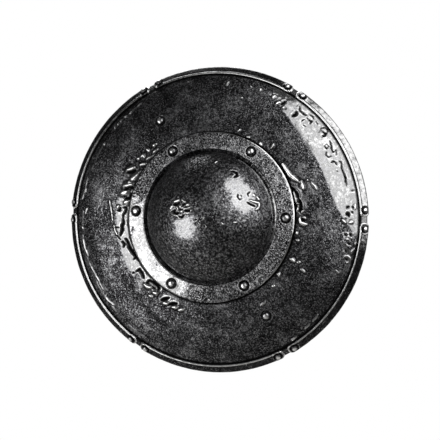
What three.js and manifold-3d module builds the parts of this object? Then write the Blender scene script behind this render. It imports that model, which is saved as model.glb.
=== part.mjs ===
// Buckler: a small round steel shield with a dished plate, a riveted boss and ring, a rim bound in six
// strips of folded steel, and a hand grip across the hollow behind the boss.
// Millimetres. The shield's axis is Y, its face looks along -Y, and +Z is up.
// The origin is the middle of the hand grip.

import * as THREE from 'three';
import { mergeVertices, toCreasedNormals } from 'three/addons/utils/BufferGeometryUtils.js';
import Module from 'manifold-3d';

const wasm = await Module();
wasm.setup();

// Gaps and cuts
const seatGap = 0.3; // between sheets that lie on each other, and round a rivet in its hole
const cutOverrun = 5; // how far a cutter runs past what it cuts
const weldDistance = 1e-4; // under which two corners of a mesh are one

// Dished plate
const shieldDiameter = 330; // over the rim binding
const plateThickness = 1.6;
const dishDepth = 27; // from the boss ring's seat back to the plate's edge
const seatSlopeDeg = 10; // of the plate under the ring
const rimSlopeDeg = 43; // of the plate at its edge
const seatMargin = 1.2; // flat seat beyond the ring's outer edge
const handHoleMargin = 1; // of the plate's hand hole, outside the foot of the boss

// Boss
const bossFootDiameter = 146; // where the fillet leaves the flange
const bossThickness = 1.8;
const bossFillet = 5;
const bossFootSlopeDeg = 62; // of the dome where it meets the fillet
const flangeSetback = 0.8; // of the flange's edge, inside the ring's outer edge

// Boss ring
const ringWidth = 18.4;
const ringThickness = 2.2;
const ringFootLap = 0.5; // how far the ring reaches over the foot of the fillet
const ringChamfer = 0.4;

// Rim binding: the strips are folded over the plate's edge, with a narrow land at the back
const bindingThickness = 1.4;
const bindingWidth = 11.5; // of one leg, from the fold
const restLandWidth = 1.3;
const bindingEndReach = 7.2; // from a strip's last rivet to the tip of its rounded end
const pairHalfAngleDeg = 3.5; // from the middle of a gap between strips to the rivets beside it

// Places round the shield, seen from the front and counted clockwise from the right
const pairAnglesDeg = [1.2, 62.1, 123.1, 183.8, 243.1, 302.4]; // middles of the gaps between strips
const ringRivetAnglesDeg = [1.6, 63.1, 121.1, 185.5, 239.8, 302.8];
const gripAngleDeg = 61;

// Rivets: domed head in front, hammered tail behind; head, shank and tail are diameters
const ringRivet = { head: 8.6, headHeight: 2.9, shank: 4, tail: 6.6, tailHeight: 1.4 };
const rimRivet = { head: 7.2, headHeight: 2.6, shank: 3.2, tail: 5.2, tailHeight: 1.1 };
const gripRivet = { head: 8.6, headHeight: 2.9, shank: 4.4, tail: 7.6, tailHeight: 1.6 };
const pinRivet = { head: 6.4, headHeight: 1, shank: 4.4, tail: 6.4, tailHeight: 1 };

// Hand grip: a steel bar between two wooden scales
const gripToRimPlane = 14.5; // from the bar's middle back to the plane of the rim
const barWidth = 26;
const barThickness = 3;
const gripRivetSpan = 240.4; // between the two rivets that hold the bar
const tabEndMargin = 9; // from such a rivet to the bar's rounded end
const tabLength = 21; // of the bar's end that lies on the plate
const scaleLength = 104;
const scaleCrown = 10; // thickness at the middle
const scaleEndThickness = 3;
const pinSpacing = 36;

// Counts of faces
const turnSteps = 60;
const capSteps = 6;
const hollowSteps = 4;
const filletSteps = 2;
const foldSteps = 3;
const innerFoldSteps = 3;
const rivetSides = 9;
const holeSides = 8;
const headSteps = 3;
const tailSteps = 2;
const endSides = 12;
const scaleStations = 10;
const scaleSides = 8;
const crankSteps = 5;

// The dish's stations between the seat and the binding's leg, and how square the scales' ends are
const dishStationShares = [0.26, 0.48, 0.68, 0.86];
const scaleEndPower = 3;

const rad = THREE.MathUtils.degToRad;
const quarterTurn = Math.PI / 2;
const shieldRadius = shieldDiameter / 2;
const seatSlope = rad(seatSlopeDeg);
const rimSlope = rad(rimSlopeDeg);
const bossFootSlope = rad(bossFootSlopeDeg);

// Ring and seat, as radii along the plate's front
const bossFootRadius = bossFootDiameter / 2;
const ringInnerRadius = bossFootRadius - ringFootLap;
const ringOuterRadius = ringInnerRadius + ringWidth;
const ringRivetRadius = (ringInnerRadius + ringOuterRadius) / 2;
const flangeRadius = ringOuterRadius - flangeSetback;
const handHoleRadius = bossFootRadius + handHoleMargin;
const seatRadius = ringOuterRadius + seatMargin;

// The fold of the binding is centred on the middle of the plate's edge
const foldRadius = plateThickness / 2 + seatGap + bindingThickness;
const foldInnerRadius = plateThickness / 2 + seatGap;
const foldCentre = new THREE.Vector2(
  shieldRadius - foldRadius,
  gripToRimPlane - Math.sqrt(foldRadius ** 2 - (restLandWidth / 2) ** 2),
);
const frontEdgeRadius = foldCentre.x + (plateThickness / 2) * Math.sin(rimSlope);
const frontEdgeY = foldCentre.y - (plateThickness / 2) * Math.cos(rimSlope);
const legInnerRadius = frontEdgeRadius - (bindingWidth - foldRadius) * Math.cos(rimSlope);
const rimRivetRadius = frontEdgeRadius - (bindingWidth / 2 - foldRadius) * Math.cos(rimSlope);

// The dish is a cone under the ring, and from there its slope grows to the rim by a power of the way out
const seatY = frontEdgeY - dishDepth;
const dishBand = frontEdgeRadius - seatRadius;
const slopeGrowth = Math.tan(rimSlope) - Math.tan(seatSlope);
const dishPower = slopeGrowth / (dishDepth / dishBand - Math.tan(seatSlope));

function plateFront(radius) {
  const run = radius - seatRadius;
  const coneY = seatY + run * Math.tan(seatSlope);
  if (run <= 0) return { y: coneY, slope: seatSlope };
  const share = run / dishBand;
  return {
    y: coneY + ((dishBand * slopeGrowth) / dishPower) * share ** dishPower,
    slope: Math.atan(Math.tan(seatSlope) + slopeGrowth * share ** (dishPower - 1)),
  };
}

// A point of the section at a radius on the plate's front, lifted along the normal there
function sectionPoint(radius, lift) {
  const { y, slope } = plateFront(radius);
  return new THREE.Vector2(radius + lift * Math.sin(slope), y - lift * Math.cos(slope));
}

function sectionLine(radii, lift) {
  return radii.map((radius) => sectionPoint(radius, lift));
}

function arcPoints(centre, radius, from, to, steps) {
  const points = [];
  for (let i = 0; i <= steps; i++) {
    const angle = from + ((to - from) * i) / steps;
    const x = centre.x + radius * Math.cos(angle);
    points.push(new THREE.Vector2(x, centre.y + radius * Math.sin(angle)));
  }
  return points;
}

// Lifts of the layers over the plate's front. The flat bar touches the hollow of the dish at its two
// edges, so its middle stands off by the dish's rise across half its width.
const flangeBackLift = seatGap;
const flangeFrontLift = flangeBackLift + bossThickness;
const ringBackLift = flangeFrontLift + seatGap;
const ringFrontLift = ringBackLift + ringThickness;
const bindingFrontLift = seatGap + bindingThickness;
const bindingBackLift = -plateThickness - bindingFrontLift;
const dishRise = (Math.tan(plateFront(gripRivetSpan / 2).slope) * (barWidth / 2) ** 2) / gripRivetSpan;
const barFrontLift = -plateThickness - seatGap - dishRise;
const barBackLift = barFrontLift - barThickness;

// Solids
function solidOf(geometry) {
  const bare = geometry.index ? geometry.toNonIndexed() : geometry.clone();
  bare.deleteAttribute('normal');
  bare.deleteAttribute('uv');
  const merged = mergeVertices(bare, weldDistance);
  return new wasm.Manifold(
    new wasm.Mesh({
      numProp: 3,
      vertProperties: merged.attributes.position.array,
      triVerts: new Uint32Array(merged.index.array),
    }),
  );
}

function geometryOf(solid) {
  const mesh = solid.getMesh();
  const geometry = new THREE.BufferGeometry();
  geometry.setAttribute('position', new THREE.BufferAttribute(mesh.vertProperties, mesh.numProp));
  geometry.setIndex(new THREE.BufferAttribute(mesh.triVerts, 1));
  return geometry;
}

function revolved(profile, steps = turnSteps) {
  return solidOf(new THREE.LatheGeometry(profile, steps));
}

// A closed profile that doesn't meet the axis ends on its first point
function revolvedRing(profile) {
  return revolved([...profile, profile[0].clone()]);
}

// The outline of a shape, with x along X and y along -Z, run along Y on both sides of the origin
function uprightPrism(shape, halfHeight) {
  const geometry = new THREE.ExtrudeGeometry(shape, {
    depth: 2 * halfHeight,
    bevelEnabled: false,
    curveSegments: endSides / 2,
  });
  return solidOf(geometry.translate(0, 0, -halfHeight).rotateX(-quarterTurn));
}

// The frame of a rivet: its origin on the front of the outermost sheet, its +Y along the normal
function rivetFrame(angleDeg, radius, lift) {
  const point = sectionPoint(radius, lift);
  const { slope } = plateFront(radius);
  return new THREE.Matrix4()
    .makeRotationY(rad(angleDeg))
    .multiply(new THREE.Matrix4().makeTranslation(point.x, point.y, 0))
    .multiply(new THREE.Matrix4().makeRotationZ(Math.PI + slope));
}

// A cutter is long enough to pass through any stack of pieces
function roundCutter(frame, radius, sides) {
  return solidOf(new THREE.CylinderGeometry(radius, radius, shieldRadius, sides).applyMatrix4(frame));
}

function drilled(solid, frames, rivet) {
  const holeRadius = rivet.shank / 2 + seatGap;
  const cutters = frames.map((frame) => roundCutter(frame, holeRadius, holeSides));
  return cutters.reduce((left, cutter) => left.subtract(cutter), solid);
}

const ringRivetFrames = ringRivetAnglesDeg.map((angle) =>
  rivetFrame(angle, ringRivetRadius, ringFrontLift),
);
const pairSides = [-pairHalfAngleDeg, pairHalfAngleDeg];
const rimRivetAnglesDeg = pairAnglesDeg.flatMap((angle) => pairSides.map((side) => angle + side));
const rimRivetFrames = rimRivetAnglesDeg.map((angle) =>
  rivetFrame(angle, rimRivetRadius, bindingFrontLift),
);
const gripRivetFrames = [gripAngleDeg, gripAngleDeg + 180].map((angle) =>
  rivetFrame(angle, gripRivetSpan / 2, 0),
);

// Pieces
function dishedPlate() {
  const openBand = legInnerRadius - seatRadius;
  const dishRadii = dishStationShares.map((share) => seatRadius + share * openBand);
  const radii = [handHoleRadius, seatRadius, ...dishRadii, legInnerRadius, frontEdgeRadius];
  const front = sectionLine(radii, 0);
  const back = sectionLine(radii, -plateThickness).reverse();
  let plate = revolvedRing([...front, ...back]);
  plate = drilled(plate, ringRivetFrames, ringRivet);
  plate = drilled(plate, rimRivetFrames, rimRivet);
  return drilled(plate, gripRivetFrames, gripRivet);
}

// One face of the boss, from its top out to the flange's edge, at a depth under its front
function bossFace(depth, steps) {
  const lift = flangeFrontLift - depth;
  const foot = sectionPoint(bossFootRadius, flangeFrontLift);
  const filletCentre = new THREE.Vector2(
    foot.x + bossFillet * Math.sin(seatSlope),
    foot.y - bossFillet * Math.cos(seatSlope),
  );
  const domeRadius = (filletCentre.x - bossFillet * Math.sin(bossFootSlope)) / Math.sin(bossFootSlope);
  const domeCentre = new THREE.Vector2(
    0,
    filletCentre.y + (bossFillet + domeRadius) * Math.cos(bossFootSlope),
  );
  const footTurn = bossFootSlope - quarterTurn;
  const dome = arcPoints(domeCentre, domeRadius - depth, -quarterTurn, footTurn, steps);
  dome[0].x = 0;
  const fillet = arcPoints(
    filletCentre,
    bossFillet + depth,
    bossFootSlope + quarterTurn,
    seatSlope + quarterTurn,
    filletSteps,
  );
  return [...dome, ...fillet.slice(1), sectionPoint(flangeRadius, lift)];
}

function boss() {
  const outside = bossFace(0, capSteps);
  const inside = bossFace(bossThickness, hollowSteps).reverse();
  return drilled(revolved([...outside, ...inside]), ringRivetFrames, ringRivet);
}

function bossRing() {
  const chamferLift = ringFrontLift - ringChamfer;
  const ring = revolvedRing([
    sectionPoint(ringInnerRadius, ringBackLift),
    sectionPoint(ringInnerRadius, chamferLift),
    sectionPoint(ringInnerRadius + ringChamfer, ringFrontLift),
    sectionPoint(ringOuterRadius - ringChamfer, ringFrontLift),
    sectionPoint(ringOuterRadius, chamferLift),
    sectionPoint(ringOuterRadius, ringBackLift),
  ]);
  return drilled(ring, ringRivetFrames, ringRivet);
}

// The folded section all the way round, from which the six strips are cut
function bindingHoop() {
  const landHalfAngle = Math.asin(restLandWidth / 2 / foldRadius);
  const frontTurn = rimSlope - quarterTurn;
  const backTurn = rimSlope + quarterTurn;
  const landTurn = quarterTurn - landHalfAngle;
  const outerFold = arcPoints(foldCentre, foldRadius, frontTurn, landTurn, foldSteps);
  const land = arcPoints(foldCentre, foldRadius, Math.PI - landTurn, backTurn, 1);
  const innerFold = arcPoints(foldCentre, foldInnerRadius, backTurn, frontTurn, innerFoldSteps);
  return revolvedRing([
    sectionPoint(legInnerRadius, bindingFrontLift),
    ...outerFold,
    ...land,
    sectionPoint(legInnerRadius, bindingBackLift),
    sectionPoint(legInnerRadius, -plateThickness - seatGap),
    ...innerFold,
    sectionPoint(legInnerRadius, seatGap),
  ]);
}

// The part of the shield between two rays, as a kite that reaches past the rim
function sector(fromDeg, toDeg) {
  const reach = shieldRadius + cutOverrun;
  const middle = rad((fromDeg + toDeg) / 2);
  const tip = reach / Math.cos(rad(toDeg - fromDeg) / 2);
  const kite = new THREE.Shape();
  kite.moveTo(0, 0);
  kite.lineTo(reach * Math.cos(rad(fromDeg)), reach * Math.sin(rad(fromDeg)));
  kite.lineTo(tip * Math.cos(middle), tip * Math.sin(middle));
  kite.lineTo(reach * Math.cos(rad(toDeg)), reach * Math.sin(rad(toDeg)));
  return uprightPrism(kite, shieldRadius);
}

function bindingStrip(hoop, index) {
  const first = 2 * index + 1;
  const last = (2 * index + 2) % rimRivetAnglesDeg.length;
  const fromDeg = rimRivetAnglesDeg[first];
  const toDeg = rimRivetAnglesDeg[last] + (last < first ? 360 : 0);
  const frames = [rimRivetFrames[first], rimRivetFrames[last]];
  const ends = frames.map((frame) => roundCutter(frame, bindingEndReach, endSides));
  const span = sector(fromDeg, toDeg).add(ends[0]).add(ends[1]);
  return drilled(hoop.intersect(span), frames, rimRivet);
}

// The profile of a low dome, from its edge to its top
function domeProfile(diameter, height, steps) {
  const radius = diameter / 2;
  const ball = (radius ** 2 + height ** 2) / (2 * height);
  const edgeAngle = Math.asin((ball - height) / ball);
  const points = arcPoints(new THREE.Vector2(0, height - ball), ball, edgeAngle, quarterTurn, steps);
  points[steps].x = 0;
  return points;
}

// A rivet stands along Y: its head sits on y = 0 and its tail on the far side of the stack of sheets
function rivetBody(size, stack) {
  const tailSeat = -stack - seatGap;
  const head = domeProfile(size.head, size.headHeight, headSteps).map(
    (p) => new THREE.Vector2(p.x, p.y + seatGap),
  );
  const tail = domeProfile(size.tail, size.tailHeight, tailSteps)
    .map((p) => new THREE.Vector2(p.x, tailSeat - p.y))
    .reverse();
  const shank = [
    new THREE.Vector2(size.shank / 2, tailSeat),
    new THREE.Vector2(size.shank / 2, seatGap),
  ];
  return revolved([...tail, ...shank, ...head], rivetSides);
}

// The middle line of the grip's bar, from its centre out to one end: straight between the scales,
// then cranked to the plate, which its end follows
function barHalfLine() {
  const middleLift = (barFrontLift + barBackLift) / 2;
  const tabEnd = gripRivetSpan / 2 + tabEndMargin;
  const tabStart = tabEnd - tabLength;
  const tabRadii = [tabStart, (tabStart + tabEnd) / 2, tabEnd];
  const tab = sectionLine(tabRadii, middleLift);
  const straightEnd = new THREE.Vector2(scaleLength / 2, 0);
  const pull = (tab[0].x - straightEnd.x) / 2;
  const crank = new THREE.CubicBezierCurve(
    straightEnd,
    new THREE.Vector2(straightEnd.x + pull, 0),
    new THREE.Vector2(tab[0].x - pull, tab[0].y - pull * Math.tan(plateFront(tabStart).slope)),
    tab[0],
  );
  return [...crank.getPoints(crankSteps), ...tab.slice(1)];
}

// The outline of a band of even thickness along a line of points
function bandOutline(line, thickness) {
  const sideAt = (i, side) => {
    const before = line[Math.max(i - 1, 0)];
    const after = line[Math.min(i + 1, line.length - 1)];
    const along = after.clone().sub(before).normalize();
    return line[i].clone().add(new THREE.Vector2(-along.y, along.x).multiplyScalar((side * thickness) / 2));
  };
  const under = line.map((p, i) => sideAt(i, -1));
  const over = line.map((p, i) => sideAt(i, 1)).reverse();
  return new THREE.Shape([...under, ...over]);
}

// The grip is made along X, and gripFrame turns it to its place behind the boss
const gripFrame = new THREE.Matrix4().makeRotationY(rad(gripAngleDeg));
const toGrip = gripFrame.clone().invert();
const pinPlaces = [-pinSpacing, 0, pinSpacing];

function scaleHeight(x) {
  const share = Math.min(1, Math.abs(x) / (scaleLength / 2));
  const fullness = (1 - share ** scaleEndPower) ** (1 / scaleEndPower);
  return scaleEndThickness + (scaleCrown - scaleEndThickness) * fullness;
}

function pinLift(x) {
  return barThickness / 2 + seatGap + scaleHeight(x);
}

function pinFrame(x) {
  return new THREE.Matrix4().makeTranslation(x, pinLift(x), 0);
}

function gripBar() {
  const half = barHalfLine();
  const mirrored = half.map((p) => new THREE.Vector2(-p.x, p.y)).reverse();
  const side = bandOutline([...mirrored, ...half], barThickness);
  const blank = new THREE.ExtrudeGeometry(side, { depth: barWidth, bevelEnabled: false });
  const plan = new THREE.Shape();
  const endCentre = gripRivetSpan / 2 + tabEndMargin - barWidth / 2;
  plan.absarc(endCentre, 0, barWidth / 2, -quarterTurn, quarterTurn);
  plan.absarc(-endCentre, 0, barWidth / 2, quarterTurn, 3 * quarterTurn);
  const outline = uprightPrism(plan, shieldRadius);
  let bar = solidOf(blank.translate(0, 0, -barWidth / 2)).intersect(outline);
  const rivetFrames = gripRivetFrames.map((frame) => toGrip.clone().multiply(frame));
  bar = drilled(bar, rivetFrames, gripRivet);
  return drilled(bar, pinPlaces.map(pinFrame), pinRivet);
}

// One wooden scale on the bar's +Y side: flat underneath, crowned across, and rounded off at its ends
function gripScale() {
  const rows = [];
  for (let i = 0; i <= scaleStations; i++) {
    const x = (-scaleLength / 2) * Math.cos((Math.PI * i) / scaleStations);
    const row = [];
    for (let j = 0; j <= scaleSides; j++) {
      const angle = (Math.PI * j) / scaleSides;
      const y = barThickness / 2 + seatGap + scaleHeight(x) * Math.sin(angle);
      row.push(new THREE.Vector3(x, y, (barWidth / 2) * Math.cos(angle)));
    }
    rows.push(row);
  }
  const scale = solidOf(skinOf(rows));
  return drilled(scale, pinPlaces.map(pinFrame), pinRivet);
}

// A closed skin over rows of points, each row a flat convex outline
function skinOf(rows) {
  const width = rows[0].length;
  const index = [];
  for (let i = 0; i + 1 < rows.length; i++) {
    for (let j = 0; j < width; j++) {
      const a = i * width + j;
      const b = i * width + ((j + 1) % width);
      index.push(a, a + width, b, b, a + width, b + width);
    }
  }
  const last = (rows.length - 1) * width;
  for (let j = 1; j + 1 < width; j++) {
    index.push(0, j, j + 1);
    index.push(last, last + j + 1, last + j);
  }
  const geometry = new THREE.BufferGeometry().setFromPoints(rows.flat());
  geometry.setIndex(index);
  return geometry;
}

// Finishes
const blackenedPlate = new THREE.MeshStandardMaterial({ color: 0x242527, roughness: 0.42, metalness: 0.95 });
const blackenedBoss = new THREE.MeshStandardMaterial({ color: 0x1f2022, roughness: 0.36, metalness: 0.95 });
const rubbedRing = new THREE.MeshStandardMaterial({ color: 0x3a3b3d, roughness: 0.38, metalness: 0.95 });
const rubbedBinding = new THREE.MeshStandardMaterial({ color: 0x2e2f31, roughness: 0.4, metalness: 0.95 });
const rivetIron = new THREE.MeshStandardMaterial({ color: 0x45464a, roughness: 0.34, metalness: 0.95 });
const gripIron = new THREE.MeshStandardMaterial({ color: 0x2b2c2e, roughness: 0.5, metalness: 0.9 });
const oiledWood = new THREE.MeshStandardMaterial({ color: 0x5b3a22, roughness: 0.6, metalness: 0 });

const creaseAngle = rad(25);
const buckler = new THREE.Group();
buckler.name = 'buckler';
const grip = new THREE.Group();
grip.applyMatrix4(gripFrame);
buckler.add(grip);

function place(parent, name, solid, material, frame) {
  const mesh = new THREE.Mesh(toCreasedNormals(geometryOf(solid), creaseAngle), material);
  mesh.name = name;
  if (frame) mesh.applyMatrix4(frame);
  parent.add(mesh);
}

place(buckler, 'dished_plate', dishedPlate(), blackenedPlate);
place(buckler, 'boss', boss(), blackenedBoss);
place(buckler, 'boss_ring', bossRing(), rubbedRing);

const ringStack = ringFrontLift + plateThickness;
const ringRivetBody = rivetBody(ringRivet, ringStack);
ringRivetFrames.forEach((frame, i) =>
  place(buckler, `ring_rivet_${i + 1}`, ringRivetBody, rivetIron, frame),
);

const hoop = bindingHoop();
pairAnglesDeg.forEach((angle, i) =>
  place(buckler, `rim_binding_${i + 1}`, bindingStrip(hoop, i), rubbedBinding),
);

const rimStack = bindingFrontLift - bindingBackLift;
const rimRivetBody = rivetBody(rimRivet, rimStack);
rimRivetFrames.forEach((frame, i) =>
  place(buckler, `rim_rivet_${i + 1}`, rimRivetBody, rivetIron, frame),
);

const gripRivetBody = rivetBody(gripRivet, -barBackLift);
gripRivetFrames.forEach((frame, i) =>
  place(buckler, `grip_rivet_${i + 1}`, gripRivetBody, rivetIron, frame),
);

place(grip, 'grip_bar', gripBar(), gripIron);
const turnedOver = new THREE.Matrix4().makeRotationX(Math.PI);
place(grip, 'grip_scale_back', gripScale(), oiledWood);
place(grip, 'grip_scale_front', gripScale(), oiledWood, turnedOver);
pinPlaces.forEach((x, i) =>
  place(grip, `grip_pin_${i + 1}`, rivetBody(pinRivet, 2 * pinLift(x)), rivetIron, pinFrame(x)),
);

export default buckler;
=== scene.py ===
"""Buckler: the finished look of a small round steel shield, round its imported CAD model.

Sizes are in millimetres here and turn to metres when a mesh is made. The shield's axis is Y, its face
looks along -Y and +Z is up. Angles run clockwise from the right, as seen from the front.
"""

import math

import bmesh
import bpy
import numpy as np
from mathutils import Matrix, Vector


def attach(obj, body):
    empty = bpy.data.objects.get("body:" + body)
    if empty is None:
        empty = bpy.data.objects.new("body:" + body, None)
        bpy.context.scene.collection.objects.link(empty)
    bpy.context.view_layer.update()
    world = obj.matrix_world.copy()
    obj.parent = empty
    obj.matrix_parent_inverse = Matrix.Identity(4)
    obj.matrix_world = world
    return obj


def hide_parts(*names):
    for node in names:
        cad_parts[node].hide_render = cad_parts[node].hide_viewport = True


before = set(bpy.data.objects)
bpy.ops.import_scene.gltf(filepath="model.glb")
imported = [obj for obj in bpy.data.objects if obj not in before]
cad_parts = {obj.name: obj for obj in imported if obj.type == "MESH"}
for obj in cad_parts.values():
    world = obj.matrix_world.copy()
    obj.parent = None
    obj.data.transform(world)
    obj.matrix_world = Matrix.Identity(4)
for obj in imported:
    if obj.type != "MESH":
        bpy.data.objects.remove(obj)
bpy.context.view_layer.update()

MM = 0.001
TAU = 2 * math.pi

# Sizes that the CAD model has too
SHIELD_RADIUS = 165.0
PLATE_THICKNESS = 1.6
DISH_DEPTH = 27.0
SEAT_GAP = 0.3
SEAT_SLOPE = math.radians(10)
RIM_SLOPE = math.radians(43)
BOSS_FOOT_RADIUS = 73.0
BOSS_THICKNESS = 1.8
BOSS_FILLET = 5.0
BOSS_FOOT_SLOPE = math.radians(62)
RING_INNER_RADIUS = 72.5
RING_OUTER_RADIUS = 90.9
RING_THICKNESS = 2.2
FLANGE_RADIUS = 90.1
HAND_HOLE_RADIUS = 74.0
SEAT_RADIUS = 92.1
BINDING_THICKNESS = 1.4
BINDING_WIDTH = 11.5
REST_LAND_WIDTH = 1.3
GRIP_TO_RIM_PLANE = 14.5
PAIR_HALF_ANGLE = 3.5
PAIR_ANGLES = (1.2, 62.1, 123.1, 183.8, 243.1, 302.4)
RING_RIVET_ANGLES = (1.6, 63.1, 121.1, 185.5, 239.8, 302.8)
GRIP_ANGLE = 61.0
GRIP_RIVET_RADIUS = 120.2
BAR_WIDTH = 26.0
BAR_THICKNESS = 3.0
TAB_LENGTH = 21.0
TAB_END_MARGIN = 9.0
SCALE_LENGTH = 104.0
SCALE_CROWN = 10.0
SCALE_END_THICKNESS = 3.0
PIN_SPACING = 36.0

FOLD_RADIUS = PLATE_THICKNESS / 2 + SEAT_GAP + BINDING_THICKNESS
FOLD_INNER_RADIUS = PLATE_THICKNESS / 2 + SEAT_GAP
FOLD_CENTRE = (
    SHIELD_RADIUS - FOLD_RADIUS,
    GRIP_TO_RIM_PLANE - math.sqrt(FOLD_RADIUS**2 - (REST_LAND_WIDTH / 2) ** 2),
)
FOLD_TURNS = (RIM_SLOPE - math.pi / 2, RIM_SLOPE + math.pi / 2)
EDGE_RADIUS = FOLD_CENTRE[0] + PLATE_THICKNESS / 2 * math.sin(RIM_SLOPE)
EDGE_Y = FOLD_CENTRE[1] - PLATE_THICKNESS / 2 * math.cos(RIM_SLOPE)
LEG_INNER_RADIUS = EDGE_RADIUS - (BINDING_WIDTH - FOLD_RADIUS) * math.cos(RIM_SLOPE)
RIM_RIVET_RADIUS = EDGE_RADIUS - (BINDING_WIDTH / 2 - FOLD_RADIUS) * math.cos(RIM_SLOPE)
RING_RIVET_RADIUS = (RING_INNER_RADIUS + RING_OUTER_RADIUS) / 2
STRIP_END_RADIUS = 7.2
STRIP_CORNER = 1.2

# How finely the meshes are divided: points round, stations along, or the size of a face
PLATE_POINTS_ROUND = 960
RING_POINTS_ROUND = 1060
BOSS_BACK_POINTS_ROUND = 704
BOSS_FRONT_STEP, BOSS_FRONT_WIDTH = 0.75, 0.62
BOSS_BACK_STEP, BOSS_BACK_WIDTH = 3.0, 2.0
RIVET_POINTS_ROUND = 28
STRIP_STATIONS = 290
STRIP_FRONT_STATIONS = 36

SEAT_Y = EDGE_Y - DISH_DEPTH
DISH_BAND = EDGE_RADIUS - SEAT_RADIUS
SLOPE_GROWTH = math.tan(RIM_SLOPE) - math.tan(SEAT_SLOPE)
DISH_POWER = SLOPE_GROWTH / (DISH_DEPTH / DISH_BAND - math.tan(SEAT_SLOPE))

FLANGE_FRONT = SEAT_GAP + BOSS_THICKNESS
RING_BACK = FLANGE_FRONT + SEAT_GAP
RING_FRONT = RING_BACK + RING_THICKNESS
BINDING_FRONT = SEAT_GAP + BINDING_THICKNESS
BINDING_BACK = -PLATE_THICKNESS - BINDING_FRONT


# Shapes
def plate_front(radius):
    """Height y and slope of the plate's front at a radius."""
    run = np.asarray(radius, float) - SEAT_RADIUS
    share = np.clip(run / DISH_BAND, 0, None)
    dish = DISH_BAND * SLOPE_GROWTH / DISH_POWER * share**DISH_POWER
    slope = np.arctan(math.tan(SEAT_SLOPE) + SLOPE_GROWTH * share ** (DISH_POWER - 1))
    return SEAT_Y + run * math.tan(SEAT_SLOPE) + dish, slope


def lifted(radius, lift):
    """Points (r, y) at a lift over the plate's front, along its normal."""
    y, slope = plate_front(radius)
    return np.stack([radius + lift * np.sin(slope), y - lift * np.cos(slope)], -1)


def spoke(angle):
    """The direction away from the shield's axis at a clockwise angle in degrees."""
    turn = math.radians(angle)
    return np.array([math.cos(turn), 0, -math.sin(turn)])


def on_shield(radius, angle, lift):
    """A point over the plate's front and the normal there."""
    r, y = lifted(radius, lift)
    _, slope = plate_front(radius)
    out = spoke(angle)
    return r * out + [0, y, 0], math.sin(slope) * out - [0, math.cos(slope), 0]


def arc(centre, radius, start, end, steps):
    """Points (r, y) along an arc, from one angle to another."""
    turn = np.linspace(start, end, steps + 1)
    return np.stack([centre[0] + radius * np.cos(turn), centre[1] + radius * np.sin(turn)], -1)


def lengths_along(line):
    """How far each point of a line is from its start, along the line."""
    return np.concatenate([[0], np.cumsum(np.linalg.norm(np.diff(line, axis=0), axis=1))])


def even_line(points, step):
    """The same line with stations an even step apart, its corners kept by the nearest station."""
    along = lengths_along(points)
    stations = np.linspace(0, along[-1], max(2, round(along[-1] / step) + 1))
    return np.stack([np.interp(stations, along, points[:, k]) for k in range(2)], -1)


class Gradients:
    """Smooth noise on a lattice, the same at each run."""

    def __init__(self, seed):
        source = np.random.default_rng(seed)
        self.order = source.permutation(256)
        vectors = source.normal(size=(256, 3))
        self.vectors = vectors / np.linalg.norm(vectors, axis=1, keepdims=True)

    def at(self, points):
        cell = np.floor(points).astype(int)
        inside = points - cell
        ease = inside**3 * (inside * (inside * 6 - 15) + 10)
        total = np.zeros(len(points))
        for corner in np.ndindex(2, 2, 2):
            i, j, k = ((cell + corner) & 255).T
            picked = self.order[(self.order[(self.order[i] + j) & 255] + k) & 255]
            weight = np.prod(np.where(np.array(corner) == 1, ease, 1 - ease), axis=1)
            total += weight * np.einsum("ij,ij->i", self.vectors[picked], inside - np.array(corner))
        return total * 1.6


def uneven(points, layers, seed):
    """Sum of noise layers, each a (cell size, height) in millimetres."""
    total = np.zeros(len(points))
    for n, (cell, height) in enumerate(layers):
        total += height * Gradients(seed + 17 * n).at(points / cell)
    return total


def fade(values, low, high):
    """0 up to the low value, 1 from the high one on, with a smooth rise between them."""
    share = np.clip((values - low) / (high - low), 0, 1)
    return share * share * (3 - 2 * share)


def ridge(values, middle, width):
    """A rounded ridge, 1 at its middle and about a third of that a width away."""
    return np.exp(-(((values - middle) / width) ** 2))


def window(turn, centre, half, soft):
    """1 within an angle of the centre, falling to 0 at its ends over the soft part."""
    off = np.abs((turn - centre + 180) % 360 - 180)
    return fade(half - off, 0, soft)


def polar(points):
    """Radius and clockwise angle in degrees of points of the shield."""
    turn = np.degrees(np.arctan2(-points[:, 2], points[:, 0])) % 360
    return np.hypot(points[:, 0], points[:, 2]), turn


def off_round(points):
    """The rim raised by hand, up to two millimetres out of true; nothing moves near the boss."""
    radius, turn = polar(points)
    turn = np.radians(turn)
    lean = 0.3 + 0.55 * np.cos(turn) + 0.4 * np.sin(turn) + 1.05 * np.sin(2 * turn)
    share = fade(radius, 95, 165) * lean / radius
    return points * (1 + share[:, None] * [1, 0, 1])


def from_stroke(points, line):
    """How far points lie from a line of points, and the share of its length where each is nearest."""
    along = lengths_along(line)
    shares = along / along[-1]
    nearest, share = np.full(len(points), np.inf), np.zeros(len(points))
    for a, b, low, high in zip(line, line[1:], shares, shares[1:]):
        way = b - a
        t = np.clip((points - a) @ way / (way @ way), 0, 1)
        away = np.linalg.norm(points - a - t[:, None] * way, axis=1)
        nearer = away < nearest
        nearest = np.where(nearer, away, nearest)
        share = np.where(nearer, low + t * (high - low), share)
    return nearest, share


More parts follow.
